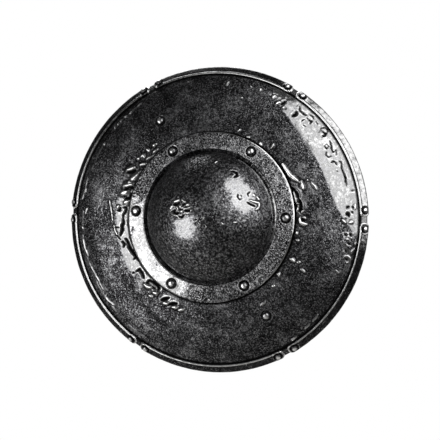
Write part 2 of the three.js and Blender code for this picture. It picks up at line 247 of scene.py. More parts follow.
class Surface:
    """What happens to each point of a surface: its height, how rubbed and how grimy it is, and the sheen
    and shade painted on it.
    """

    def __init__(self, points):
        self.points = points
        self.radius, self.turn = polar(points)
        self.height, self.rubbed_and_sheen, self.grime_and_shade = (np.zeros(len(points)) for _ in range(3))

    def hammer(self, layers, seed, where=1.0):
        """Makes the surface uneven by layers of noise, each a (cell size, height)."""
        self.height += where * uneven(self.points, layers, seed)

    # Lightens and smooths where it is rubbed and where sheen is painted, darkens where it is grimy and
    # where shade is painted
    def tint(self, where, rubbed_and_sheen=0.0, grime_and_shade=0.0):
        self.rubbed_and_sheen = np.maximum(self.rubbed_and_sheen, rubbed_and_sheen * where)
        self.grime_and_shade = np.maximum(self.grime_and_shade, grime_and_shade * where)

    def tint_zone(self, sector, start=None, stop=None, patches=None, on=1.0, rubbed_and_sheen=0.0, grime_and_shade=0.0):
        """Tints a sector, given by its middle angle, half its angle and the soft part at each end.

        The tint is rubbing and grime, with painted sheen and painted shade. Start and stop are the radii
        over which it begins and ends. Patches are layers of noise, their seed, and the values between
        which they begin to show. On is where the tint may be.
        """
        where = on * window(self.turn, *sector)
        if start:
            where = where * fade(self.radius, *start)
        if stop:
            where = where * (1 - fade(self.radius, *stop))
        if patches:
            layers, seed, low, high = patches
            where = where * fade(uneven(self.points, layers, seed), low, high)
        self.tint(where, rubbed_and_sheen, grime_and_shade)

    def strike(self, strokes, on_surface, seed):
        """Presses cuts with raised lips and leaves burrs along wavering lines, with painted shade in cuts
        and at burrs' feet and painted highlights on lips and burrs.
        """
        waver = np.stack([uneven(self.points, [(3.4, 0.6)], seed + 5 * k) for k in range(3)], -1)
        for half, tall, *places in strokes:
            line = np.array([on_surface(*place) for place in zip(places[::2], places[1::2])])
            low, high = line.min(axis=0) - 8, line.max(axis=0) + 8
            near = np.flatnonzero(np.all((self.points > low) & (self.points < high), axis=1))
            away, share = from_stroke(self.points[near] + waver[near], line)
            # In half widths: a stroke narrows to about half at its ends, and its lip or foot is at 1.9
            away = away / (half * (0.55 + 0.45 * np.sqrt(np.sin(math.pi * share))))
            body, edge = ridge(away, 0, 1), ridge(away, 1.9, 0.6)
            # Painted shade in a cut and a painted highlight on its lips; a painted highlight on a burr and
            # painted shade at its foot
            if tall < 0:
                lip, dark, bright = 0.25, 1 - fade(away, 0.75, 1.3), edge
            else:
                lip, dark, bright = 0.3, 0.9 * edge, 1.25 * body
            self.height[near] += tall * (body - lip * edge)
            self.grime_and_shade[near] = np.maximum(self.grime_and_shade[near], dark)
            self.rubbed_and_sheen[near] = np.maximum(self.rubbed_and_sheen[near], bright)

    def ring_seats(self, places, inner, outer, depth):
        """A sunk ring round each rivet with painted shade in it, and a thin lip with a painted highlight.
        """
        for place in places:
            away = np.linalg.norm(self.points - place, axis=1)
            # The ring's walls slope over 0.6 and 0.7 mm, and the lip lies 1.2 mm outside it
            moat = fade(away, inner - 0.6, inner) * (1 - fade(away, outer, outer + 0.7))
            lip = ridge(away, outer + 1.2, 0.6)
            self.height += 0.15 * lip - depth * moat
            # Painted shade in the sunk ring, a painted highlight on the lip
            self.tint(moat, grime_and_shade=1.0)
            self.tint(lip, rubbed_and_sheen=0.6)

    def pushed(self, normals, share=1.0):
        """The points moved along their normals by the height, or by a share of it."""
        return self.points + normals * (share * self.height)[:, None]

    def marks(self, share=1.0):
        """The marks of the front; the back, where share is 0, is evenly sooty."""
        return {"rubbed_and_sheen": share * self.rubbed_and_sheen, "grime_and_shade": share * self.grime_and_shade + 0.25 * (1 - share)}


class Shell:
    """A closed skin of rings of points round the shield's axis, with its outward normals."""

    def __init__(self):
        self.points, self.normals, self.side, self.faces, self.loops = [], [], [], [], []
        self.count = 0

    def ring(self, radius, y, normal, side, steps):
        """One ring of points; side is 1 on the front face and falls to 0 elsewhere."""
        turn = TAU * np.arange(steps) / steps
        flat = np.stack([np.cos(turn), np.zeros(steps), -np.sin(turn)], -1)
        up = np.array([0, 1.0, 0])
        self.points.append(radius * flat + y * up)
        self.normals.append(normal[0] * flat + normal[1] * up)
        self.side.append(np.full(steps, side))
        self.loops.append(self.count + np.arange(steps))
        self.count += steps

    def join(self, a, b):
        """Faces between two rings with as many points, or with half or twice as many, or one."""
        if len(a) > len(b):
            self.faces += [face[::-1] for face in self.between(b, a)]
        else:
            self.faces += self.between(a, b)

    @staticmethod
    def between(a, b):
        n = len(a)
        nxt_a, nxt_b = np.roll(a, -1), np.roll(b, -1)
        if n == 1:
            return [(a[0], p, q) for p, q in zip(b.tolist(), nxt_b.tolist())]
        if len(b) == n:
            return list(zip(a.tolist(), b.tolist(), nxt_b.tolist(), nxt_a.tolist()))
        faces = []
        for i in range(n):
            p, q, r = b[2 * i], b[2 * i + 1], b[(2 * i + 2) % len(b)]
            faces += [(a[i], p, q), (a[i], q, nxt_a[i]), (nxt_a[i], q, r)]
        return [tuple(int(v) for v in face) for face in faces]

    def stack(self):
        """All points, their normals, and how far each is on the front."""
        return np.concatenate(self.points), np.concatenate(self.normals), np.concatenate(self.side)


def section_normals(line, closed):
    """Outward normals of a section that runs from the axis outwards over its front, then back."""
    if closed:
        step = np.roll(line, -1, axis=0) - np.roll(line, 1, axis=0)
    else:
        step = np.gradient(line, axis=0)
    step /= np.linalg.norm(step, axis=1, keepdims=True)
    return np.stack([step[:, 1], -step[:, 0]], -1)


def revolve(line, side, steps, closed):
    """A shell round the axis: line is (r, y) by station, steps the points round at each station."""
    shell = Shell()
    normals = section_normals(line, closed)
    for (radius, y), normal, share, count in zip(line, normals, side, steps):
        shell.ring(radius, y, normal, share, 1 if radius < 1e-6 else int(count))
    pairs = list(zip(shell.loops, shell.loops[1:]))
    if closed:
        pairs.append((shell.loops[-1], shell.loops[0]))
    for a, b in pairs:
        shell.join(a, b)
    return shell


def slab(top, bottom):
    """Points and faces of a closed body between two grids of points of the same shape."""
    rows, columns = top.shape[:2]
    count = rows * columns
    index = np.arange(count).reshape(rows, columns)

    def cells(a, b, c, d):
        return np.stack([a.ravel(), b.ravel(), c.ravel(), d.ravel()], -1).tolist()

    faces = cells(index[:-1, :-1], index[1:, :-1], index[1:, 1:], index[:-1, 1:])
    under = index + count
    faces += cells(under[:-1, :-1], under[:-1, 1:], under[1:, 1:], under[1:, :-1])
    rim = np.concatenate([index[0, :-1], index[:-1, -1], index[-1, :0:-1], index[:0:-1, 0]])
    after = np.roll(rim, -1)
    faces += cells(rim, after, after + count, rim + count)
    return np.concatenate([top.reshape(-1, 3), bottom.reshape(-1, 3)]), faces


def outward(mesh):
    """Turns the whole mesh round if its volume comes out negative."""
    body = bmesh.new()
    body.from_mesh(mesh)
    if body.calc_volume(signed=True) < 0:
        bmesh.ops.reverse_faces(body, faces=body.faces)
        body.to_mesh(mesh)
    body.free()


def write_marks(mesh, marks):
    for mark, values in marks.items():
        mesh.attributes.new(mark, "FLOAT", "POINT").data.foreach_set("value", values.astype(np.float32))


def place_object(name, data):
    """An object at the origin for a mesh, a lamp or the camera."""
    thing = bpy.data.objects.new(name, data)
    bpy.context.scene.collection.objects.link(thing)
    return thing


def mesh_object(name, points, faces, marks):
    """An object from points in millimetres, its faces outwards, with its marks at the points."""
    mesh = bpy.data.meshes.new(name)
    mesh.from_pydata((points * MM).tolist(), [], faces)
    outward(mesh)
    mesh.update()
    write_marks(mesh, marks)
    mesh.shade_smooth()
    return place_object(name, mesh)


def finish_piece(piece, material, nodes):
    """Gives a piece its material, puts it under the root body, and hides the CAD nodes that it stands for.
    """
    piece.data.materials.clear()
    piece.data.materials.append(material)
    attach(piece, "root")
    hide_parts(*nodes)


# Materials
def linear(code):
    """An sRGB hex colour as linear red, green, blue and alpha."""
    parts = [int(code[i : i + 2], 16) / 255 for i in (1, 3, 5)]
    return [v / 12.92 if v <= 0.04045 else ((v + 0.055) / 1.055) ** 2.4 for v in parts] + [1.0]


def add(tree, kind, settings=None, stops=(), **inputs):
    """Adds a node with its settings, its links and, on a colour ramp, its (place, hex colour) stops.

    Inputs are values, sockets or nodes, by the input's name, or by its number after an underscore.
    A node stands for the first of its outputs that is in use.
    """
    node = tree.nodes.new(kind)
    for name, value in (settings or {}).items():
        setattr(node, name, value)
    for name, value in inputs.items():
        socket = node.inputs[int(name[1:]) if name[1:].isdigit() else name.replace("_", " ")]
        if isinstance(value, bpy.types.Node):
            value = next(output for output in value.outputs if output.enabled)
        if isinstance(value, bpy.types.NodeSocket):
            tree.links.new(value, socket)
        else:
            socket.default_value = value
    if stops:
        for _ in stops[2:]:
            node.color_ramp.elements.new(0.5)
        for element, (place, code) in zip(node.color_ramp.elements, stops):
            element.position = place
            element.color = linear(code)
    return node


def new_material(name):
    material = bpy.data.materials.new(name)
    material.use_nodes = True
    material.node_tree.nodes.clear()
    return material, material.node_tree


# What lies on the steel: its scale, soot and painted shade in its corners, and the glint of its barest
# crests
SCALE_BLACK, SOOT_AND_SHADE_BLACK, GLINT_GREY = "#151516", "#0b0b0b", "#e0e0e0"


def blackened_steel(name, skin, worn, rough, grain_mm, grain_height, pit_height, scale_share, blotch):
    """Steel worked hot and left in its own black scale, then rubbed where it stands proud.

    To the eye the scale is nearly black and satin, the crests and edges are greyer, smoother metal,
    and pits lie all over between the grains of scale. Skin is three colours from the hollows to the
    crests, worn the bare metal, and blotch how far larger patches differ. Real forge scale is a
    tenth of a millimetre fine, too fine to show, so its grain is drawn as coarse as it needs to
    show, at about grain_mm.
    """
    material, tree = new_material(name)
    place = add(tree, "ShaderNodeTexCoord").outputs["Object"]
    rubbed_and_sheen, grime_and_shade = (
        add(tree, "ShaderNodeAttribute", {"attribute_name": mark}).outputs["Fac"]
        for mark in ("rubbed_and_sheen", "grime_and_shade")
    )
    # The fleck is cut from a 4-D noise, at the fourth place that input 1 gives, so that it doesn't
    # follow the scale
    grain, scale, fleck, mottle, patches = (
        add(
            tree, "ShaderNodeTexNoise", {"noise_dimensions": dimensions}, Vector=place, _1=3.0,
            Scale=1 / (size * MM), Detail=detail, Roughness=fineness,
        )
        for dimensions, size, detail, fineness in (
            ("3D", 1.5 * grain_mm, 0.6, 0.5),
            ("3D", 0.85 * grain_mm, 2.0, 0.75),
            ("4D", 0.95 * grain_mm, 2.0, 0.8),
            ("3D", 4, 3.0, 0.6),
            ("3D", 22, 3.0, 0.55),
        )
    )
    pits = add(
        tree, "ShaderNodeTexVoronoi", {"feature": "SMOOTH_F1"}, Vector=place,
        Scale=1 / (2.6 * grain_mm * MM), Smoothness=0.6, Randomness=1.0,
    )
    # In these rows rubbed stands for rubbed metal and for painted sheen alike
    pits, mottle, calm, cloud, patchy, satin, coarse = (
        add(tree, "ShaderNodeMapRange", Value=value, _1=start, _2=end, _3=low, _4=high)
        for value, start, end, low, high in (  # a value's range, and what it turns to
            (pits, 0.0, 0.55, 0.0, 1.0),  # how deep the pits are
            (mottle, 0.2, 0.8, 0.36, 0.64),  # the even colour of calm metal
            (rubbed_and_sheen, 0.0, 0.8, 0.1, 0.85),  # calm where it is rubbed
            (patches, 0.44, 0.60, 0.0, 0.6),  # and in clouds elsewhere
            (patches, 0.35, 0.65, -blotch, blotch),  # darker and lighter patches
            (patches, 0.3, 0.7, rough - 0.06, rough + 0.08),  # roughness
            (rubbed_and_sheen, 0.0, 0.7, 1.0, 0.25),  # relief, lower where it is rubbed
        )
    )
    scale = add(
        tree, "ShaderNodeMapRange", {"interpolation_type": "SMOOTHSTEP"}, Value=scale,
        _1=0.40, _2=0.56, _3=0.0, _4=1.0,
    )
    without_rubbing_or_sheen = add(tree, "ShaderNodeMath", {"operation": "SUBTRACT"}, _0=1.0, _1=rubbed_and_sheen)
    for share in (without_rubbing_or_sheen, scale_share):
        scale = add(tree, "ShaderNodeMath", {"operation": "MULTIPLY"}, _0=scale, _1=share)
    calm = add(tree, "ShaderNodeMath", {"operation": "MAXIMUM"}, _0=calm, _1=cloud)
    crest = add(tree, "ShaderNodeMix", {"data_type": "FLOAT"}, _0=calm, _2=fleck, _3=mottle)
    # Rubbed metal and painted sheen lighten the steel towards bare grey and make it smoother
    bared = add(tree, "ShaderNodeMath", {"operation": "MULTIPLY"}, _0=rubbed_and_sheen, _1=rubbed_and_sheen)
    crest = add(tree, "ShaderNodeMath", {"operation": "MULTIPLY_ADD"}, _0=bared, _1=0.30, _2=crest)
    crest = add(tree, "ShaderNodeMath", {"operation": "ADD"}, _0=crest, _1=patchy)
    stops = [*zip((0.42, 0.50, 0.57, 0.66, 0.82), (*skin, worn, GLINT_GREY))]
    base = add(tree, "ShaderNodeValToRGB", stops=stops, Fac=crest)
    # Grime and painted shade both darken the steel towards soot black and make it rougher
    for share, code in ((scale, SCALE_BLACK), (grime_and_shade, SOOT_AND_SHADE_BLACK)):
        base = add(tree, "ShaderNodeMix", {"data_type": "RGBA"}, _0=share, _6=base, _7=linear(code))
    for share, change in ((rubbed_and_sheen, -0.15), (grime_and_shade, 0.35), (scale, 0.22)):
        satin = add(
            tree, "ShaderNodeMath", {"operation": "MULTIPLY_ADD", "use_clamp": True},
            _0=share, _1=change, _2=satin,
        )
    relief = {}
    for height, depth in ((pits, pit_height), (grain, grain_height), (scale, -0.4 * grain_height)):
        bump = add(tree, "ShaderNodeBump", Strength=coarse, Distance=depth * MM, Height=height, **relief)
        relief = {"Normal": bump}
    steel = add(tree, "ShaderNodeBsdfPrincipled", Base_Color=base, Metallic=1.0, Roughness=satin, **relief)
    add(tree, "ShaderNodeOutputMaterial", Surface=steel)
    return material


# Mild steel sheet, dished hot with a hammer: soft dents under sandy scale, grey on the crests
plate_steel = blackened_steel(
    "blackened hammered plate steel", ("#19191a", "#4c4c4e", "#a4a4a6"), "#868686",
    rough=0.22, grain_mm=1.6, grain_height=0.24, pit_height=0.06, scale_share=0.85, blotch=0.035,
)
# The same sheet raised to a dome and gone over with more, lighter blows: coarser and more even
boss_steel = blackened_steel(
    "blackened raised boss steel", ("#1e1e1f", "#545456", "#a4a4a6"), "#a0a0a0",
    rough=0.22, grain_mm=2.1, grain_height=0.30, pit_height=0.06, scale_share=0.65, blotch=0.015,
)
# Thicker steel, cut out and filed: the deepest grain, with the brightest crests
ring_steel = blackened_steel(
    "rubbed ring steel", ("#101011", "#6c6c6e", "#f0f0f2"), "#939393",
    rough=0.22, grain_mm=1.6, grain_height=0.55, pit_height=0.06, scale_share=0.8, blotch=0.03,
)
# Thin steel folded over the rim: smooth and evenly dark, bright only along its edges, where highlights are
# painted
binding_steel = blackened_steel(
    "folded rim strip steel", ("#1a1a1b", "#2c2c2d", "#464648"), "#a8a8a8",
    rough=0.28, grain_mm=1.6, grain_height=0.08, pit_height=0.04, scale_share=0.25, blotch=0.01,
)
# Iron rivets, their heads set with a hammer: nearly bare and smooth, so that each holds a highlight
rivet_iron = blackened_steel(
    "hammered rivet iron", ("#3a3a3b", "#6c6c6e", "#a0a0a2"), "#e8e8e8",
    rough=0.10, grain_mm=1.4, grain_height=0.03, pit_height=0.03, scale_share=0.1, blotch=0.0,
)
# The grip's bar, forged and left as it came from the fire: dull and black
grip_iron = blackened_steel(
    "forge-black grip iron", ("#242425", "#3c3c3e", "#565658"), "#8a8a8a",
    rough=0.40, grain_mm=1.6, grain_height=0.14, pit_height=0.10, scale_share=0.5, blotch=0.03,
)


def oiled_wood(name, dark, light):
    """Ash, split along the grain, shaved to a grip and oiled.

    To the eye: long bands and pores along the grip, a soft gloss, and the hand's dirt in patches.
    The pores are drawn 0.7 mm wide, about twice their size, so that they show.
    """
    material, tree = new_material(name)
    place = add(tree, "ShaderNodeTexCoord").outputs["Object"]
    along = add(
        tree, "ShaderNodeMapping", Vector=place,
        Rotation=(0, math.radians(-GRIP_ANGLE), 0), Scale=(0.08, 1, 1),
    )
    grain, pores, soil = (
        add(
            tree, "ShaderNodeTexNoise", Vector=vector, Scale=1 / (size * MM), Detail=detail,
            Roughness=fineness, Distortion=distortion,
        )
        for vector, size, detail, fineness, distortion in (
            (along, 2.2, 5.0, 0.6, 0.4), (along, 0.7, 2.0, 0.6, 0.0), (place, 30, 2.0, 0.5, 0.0),
        )
    )
    bands = add(tree, "ShaderNodeValToRGB", stops=[(0.32, dark), (0.52, light), (0.7, dark)], Fac=grain)
    worn = add(tree, "ShaderNodeValToRGB", stops=[(0.35, "#6a6a6a"), (0.65, "#ffffff")], Fac=soil)
    base = add(
        tree, "ShaderNodeMix", {"data_type": "RGBA", "blend_type": "MULTIPLY"}, _0=0.8, _6=bands, _7=worn
    )
    rough = add(tree, "ShaderNodeMapRange", Value=grain, _1=0.3, _2=0.7, _3=0.5, _4=0.66)
    relief = add(tree, "ShaderNodeBump", Strength=0.7, Distance=0.15 * MM, Height=pores)
    relief = add(tree, "ShaderNodeBump", Strength=0.8, Distance=0.3 * MM, Height=grain, Normal=relief)
    wood = add(tree, "ShaderNodeBsdfPrincipled", Base_Color=base, Roughness=rough, IOR=1.5, Normal=relief)
    add(tree, "ShaderNodeOutputMaterial", Surface=wood)
    return material


grip_wood = oiled_wood("oiled ash", "#4a2f1a", "#7d5432")


# Pieces
# Cuts and raised burrs of the plate: half width, height, which is below zero for a cut, then the
# radius and angle of each point along it
PLATE_STROKES = (
    (1.9, -0.8, 144.9, 308.4, 142.4, 309.1, 138.7, 308.5),
    (1.2, -0.6, 151.5, 307.9, 148.1, 309.4, 147.8, 311.2, 149.0, 312.8),
    (1.1, -0.6, 151.7, 313.3, 152.2, 314.8, 150.9, 316.1),
    (1.1, -0.6, 147.2, 313.5, 146.8, 314.9, 147.9, 316.1, 144.5, 316.5),
    (0.9, -0.3, 144.1, 313.4, 140.6, 313.1),
    (0.9, -0.35, 138.5, 315.0, 139.5, 316.1),
    (0.9, -0.25, 151.0, 317.2, 150.3, 318.8),
    (0.8, -0.3, 145.8, 322.0, 150.5, 320.9, 154.0, 321.6, 153.7, 323.4, 149.5, 324.6, 145.2, 324.3),
    (1.2, -0.7, 149.1, 321.7, 149.7, 322.6, 150.4, 323.6, 148.1, 324.2, 146.5, 323.7),
    (1.2, -0.7, 150.3, 327.0, 148.9, 328.8, 147.7, 330.4, 146.3, 332.1),
    (0.8, -0.35, 145.3, 327.7, 146.1, 329.1, 142.9, 329.5, 142.2, 328.2, 145.3, 327.7),
    (0.9, -0.5, 141.0, 330.5, 139.4, 332.1, 140.8, 333.4, 143.8, 333.3),
    (0.9, -0.5, 147.2, 332.1, 150.4, 331.8, 149.4, 333.1, 148.0, 333.8),
    (1.1, -0.6, 140.5, 335.8, 142.8, 335.6, 144.7, 336.5, 144.7, 337.9),
    (1.2, -0.7, 148.5, 336.3, 150.2, 337.1, 148.5, 338.9, 147.9, 340.6, 148.4, 342.4, 148.4, 344.2,
     147.3, 345.8, 147.9, 347.3),
    (0.9, -0.4, 142.3, 340.1, 143.5, 340.7),
    (1.0, -0.5, 150.6, 349.7, 154.1, 349.4),
    (1.0, 0.5, 143.1, 23.3, 146.5, 24.1, 148.4, 22.9),
    (2.0, 1.8, 96.0, 323.9, 95.3, 327.5, 95.8, 332.2, 98.7, 335.9, 102.2, 339.0),
    (2.0, 2.2, 104.1, 338.9, 104.2, 341.0, 104.2, 343.8),
    (2.0, 2.0, 93.6, 343.2, 92.5, 347.5, 94.1, 351.4),
    (1.9, 2.0, 93.9, 352.1, 96.9, 352.0),
    (1.9, 1.9, 95.0, 354.1, 93.0, 356.9),
    (1.9, -1.0, 97.2, 349.4, 98.7, 353.4, 96.7, 357.0),
    (1.8, -0.8, 93.3, 340.8, 96.5, 345.4, 96.8, 348.7),
    (2.0, 2.0, 98.4, 357.3, 100.1, 357.1),
    (2.1, 2.1, 96.0, 1.1, 96.8, 3.6, 100.1, 4.7, 103.7, 4.9),
    (1.8, 1.9, 99.8, 0.4, 102.3, 1.4),
    (1.6, -0.9, 98.3, 1.8, 100.9, 3.0),
    (1.1, 0.7, 110.2, 339.7, 111.5, 339.4),
    (1.2, 0.6, 113.8, 341.6, 115.7, 343.9, 117.8, 346.0),
    (1.5, 1.6, 93.8, 10.0, 95.5, 11.5),
    (1.6, 1.7, 95.5, 15.0, 98.8, 15.2),
    (1.9, 2.0, 96.7, 27.7, 99.0, 27.6, 102.1, 27.9),
    (1.4, 1.3, 105.0, 27.7, 107.5, 26.6),
    (1.7, 1.7, 93.8, 40.3, 95.5, 39.7, 97.7, 40.9),
    (1.3, 1.0, 99.7, 48.1, 100.3, 47.0),
    (1.3, 0.7, 111.3, 30.0, 114.1, 30.2, 116.9, 30.6),
    (1.2, 0.7, 108.2, 60.7, 107.8, 59.3, 107.7, 57.2),
    (1.7, 1.6, 96.5, 287.8, 98.8, 288.3),
    (1.9, 1.8, 94.6, 294.2, 94.1, 296.4),
    (1.9, 1.8, 95.6, 303.4, 93.3, 305.8),
    (1.8, 1.7, 98.5, 311.8, 102.9, 311.0),
    (1.5, 1.5, 143.4, 296.5, 147.3, 297.0),
    (1.6, 1.6, 138.7, 299.2, 142.8, 299.9, 143.1, 300.8),
    (1.8, -0.8, 142.7, 301.4, 147.2, 301.9),
    (1.3, 1.2, 138.9, 302.9, 141.7, 303.0),
    (1.2, 1.3, 143.1, 275.2, 145.7, 275.5, 148.8, 275.9),
    (1.2, 1.3, 145.2, 289.9, 148.4, 290.2),
    (1.1, 1.1, 148.0, 285.3, 146.2, 286.0),
    (1.0, 0.9, 132.5, 284.0, 132.8, 281.7),
    (1.6, 1.3, 102.0, 230.2, 101.3, 232.4),
    (1.6, 1.0, 104.6, 225.6, 100.8, 226.4),
    (1.3, 0.8, 103.2, 220.1, 102.9, 222.3, 99.7, 221.4),
    (1.3, 0.7, 105.5, 217.8, 103.4, 219.4),
    (1.3, 0.7, 96.4, 221.4, 96.1, 223.2, 93.5, 225.9),
    (1.4, 1.0, 96.3, 228.0, 95.8, 231.2),
    (1.4, 0.8, 98.4, 216.0, 96.5, 217.9, 93.5, 219.0),
    (2.7, 1.3, 108.5, 209.2, 105.7, 210.8, 102.8, 212.4),
    (1.7, -0.9, 106.7, 208.0, 102.8, 209.5, 99.6, 211.6),
    (2.4, 1.1, 94.1, 212.2, 96.3, 207.9, 100.7, 203.5),
    (2.7, 1.3, 104.7, 199.4, 100.7, 201.3, 95.9, 203.4),
    (1.4, -0.9, 102.3, 198.0, 98.3, 199.6, 94.8, 200.9, 92.0, 200.1),
    (2.8, 1.3, 104.4, 195.2, 101.5, 196.6, 98.0, 197.8),
    (1.7, -1.0, 101.4, 194.1, 97.2, 192.9, 93.8, 194.0, 94.0, 196.9),
    (2.2, 1.1, 98.6, 190.2, 94.3, 191.5),
    (1.4, -0.9, 99.2, 187.1, 96.1, 187.2, 95.1, 185.8, 97.2, 183.8, 98.7, 182.2, 99.1, 180.1),
    (1.3, -0.7, 105.8, 185.3, 103.4, 185.2, 102.5, 186.8),
    (1.2, 0.8, 106.8, 186.8, 104.0, 188.1),
    (1.7, -1.0, 99.1, 180.1, 98.0, 177.5, 100.4, 175.4, 100.1, 173.0, 102.4, 171.3, 103.8, 169.9),
    (1.0, -0.3, 109.3, 175.0, 106.1, 175.2, 103.3, 174.7),
    (1.0, -0.5, 107.3, 170.5, 104.3, 167.5),
    (1.4, -0.9, 103.1, 166.4, 100.4, 164.7, 103.0, 162.7),
    (1.8, -1.1, 98.3, 167.3, 96.7, 164.8, 96.6, 161.7, 95.2, 159.1, 94.0, 156.2, 92.6, 153.3, 91.9, 150.3),
    (1.2, -0.7, 93.3, 153.8, 97.5, 152.9),
    (1.6, -0.9, 101.4, 146.0, 97.1, 145.5, 97.0, 142.9, 99.0, 139.4),
    (1.1, -0.6, 106.5, 146.5, 103.9, 145.8),
    (1.8, -1.0, 100.4, 136.1, 96.3, 135.6, 94.6, 133.3, 94.0, 130.3, 95.3, 127.8, 99.3, 127.2),
    (1.7, -0.9, 99.0, 131.5, 97.8, 129.5),
    (1.7, 1.4, 103.4, 136.8, 102.5, 134.1, 99.4, 131.6),
    (1.7, 1.4, 102.9, 129.2, 101.7, 127.3, 96.9, 127.3),
    (1.7, 1.4, 108.2, 130.2, 107.4, 128.2),
    (1.6, -0.9, 104.4, 122.6, 101.4, 121.0, 98.2, 118.7),
    (1.8, 1.5, 106.2, 120.6, 103.9, 117.8),
    (1.6, -0.9, 105.4, 117.4, 102.0, 115.4, 99.3, 112.7),
    (1.7, 1.4, 105.6, 114.6, 102.8, 111.2),
    (1.7, 1.4, 105.5, 110.5, 102.2, 107.3),
    (1.0, 0.7, 117.2, 190.4, 114.3, 186.8, 112.1, 183.0, 111.0, 179.1),
    (1.0, 0.7, 110.2, 176.8, 108.9, 173.3, 106.9, 170.2),
    (1.1, 1.5, 150.0, 221.3, 149.6, 222.1),
    (1.1, 1.5, 149.9, 223.2, 149.6, 224.1),
    (1.1, 1.5, 150.2, 225.0, 150.0, 226.3),
    (1.1, 1.5, 150.0, 227.5, 149.2, 228.9),
    (1.1, 1.4, 149.3, 230.0, 148.7, 231.5),
    (1.2, 1.5, 149.8, 234.7, 150.2, 236.6),
    (1.1, 1.3, 148.1, 212.9, 148.9, 214.5),
    (0.9, 0.7, 155.4, 206.4, 152.6, 205.9, 150.5, 206.8),
    (1.1, 1.0, 150.1, 198.5, 150.4, 195.8, 149.4, 193.3, 150.5, 190.7, 151.8, 188.4),
    (1.1, 0.9, 142.9, 185.4, 145.8, 182.7),
    (1.1, 0.8, 149.8, 177.5, 148.1, 176.2),
    (1.1, 0.9, 150.1, 173.9, 149.5, 171.4, 149.7, 168.4, 148.0, 164.6),
    (1.1, 1.0, 149.2, 161.8, 147.7, 158.0, 146.3, 153.5, 147.1, 148.8),
    (1.0, 0.9, 149.1, 146.5, 149.2, 143.6, 146.8, 140.4),
    (1.1, 1.5, 153.9, 57.6, 153.0, 54.9),
    (1.1, 1.5, 152.4, 50.5, 151.7, 47.7),
    (1.1, 1.5, 152.2, 46.3, 151.9, 44.7, 151.4, 42.7),
    (0.8, 0.5, 150.0, 257.3, 150.5, 258.6, 151.2, 260.3),
    (0.8, 0.5, 149.6, 251.4, 150.0, 252.8),
    (1.6, -0.8, 144.4, 356.7, 146.6, 356.1),
    (1.2, -0.6, 149.4, 356.0, 150.6, 356.9),
    (1.6, -0.8, 143.0, 359.5, 145.3, 359.0, 146.1, 0.1),
    (1.1, -0.6, 148.3, 358.1, 150.6, 358.8),
    (1.5, 0.7, 139.6, 1.7, 142.5, 2.7),
    (1.3, 0.6, 146.6, 2.8, 149.5, 2.1),
    (1.3, 0.6, 152.8, 355.2, 151.9, 357.1),
    (1.5, -0.5, 142.7, 7.6, 144.8, 8.2),
    (1.6, -0.5, 147.9, 7.2, 149.8, 8.2),
    (1.0, 0.6, 144.6, 9.9, 147.0, 9.3),
    (0.9, 0.6, 149.0, 8.9, 150.2, 8.4),
    (1.4, -0.5, 146.8, 11.1, 149.5, 11.4),
    (1.3, -0.4, 145.5, 14.1, 147.6, 14.7),
    (1.2, 0.7, 154.3, 10.0, 153.8, 11.4),
    (1.2, 0.8, 153.8, 12.7, 153.0, 13.7, 152.1, 14.9),
    (1.1, 0.7, 145.7, 18.0, 146.5, 16.7, 149.7, 16.1, 152.6, 16.8, 152.7, 18.3, 149.9, 19.1),
    (1.4, -0.6, 148.8, 17.7, 150.2, 17.6),
)

# Where the smooth, lighter upper right starts, along the edge of the right softbox's reflection,
# so that it is partly painted sheen: angle past the left, radius
CRESCENT_EDGE = (
    (0, 175), (110, 175), (116, 150), (121, 142), (125, 138.5), (131, 134.5), (138, 131.5), (151, 130.5),
    (161, 131), (170, 133), (176, 137), (181, 143), (186, 152), (192, 165), (198, 175), (360, 175),
)

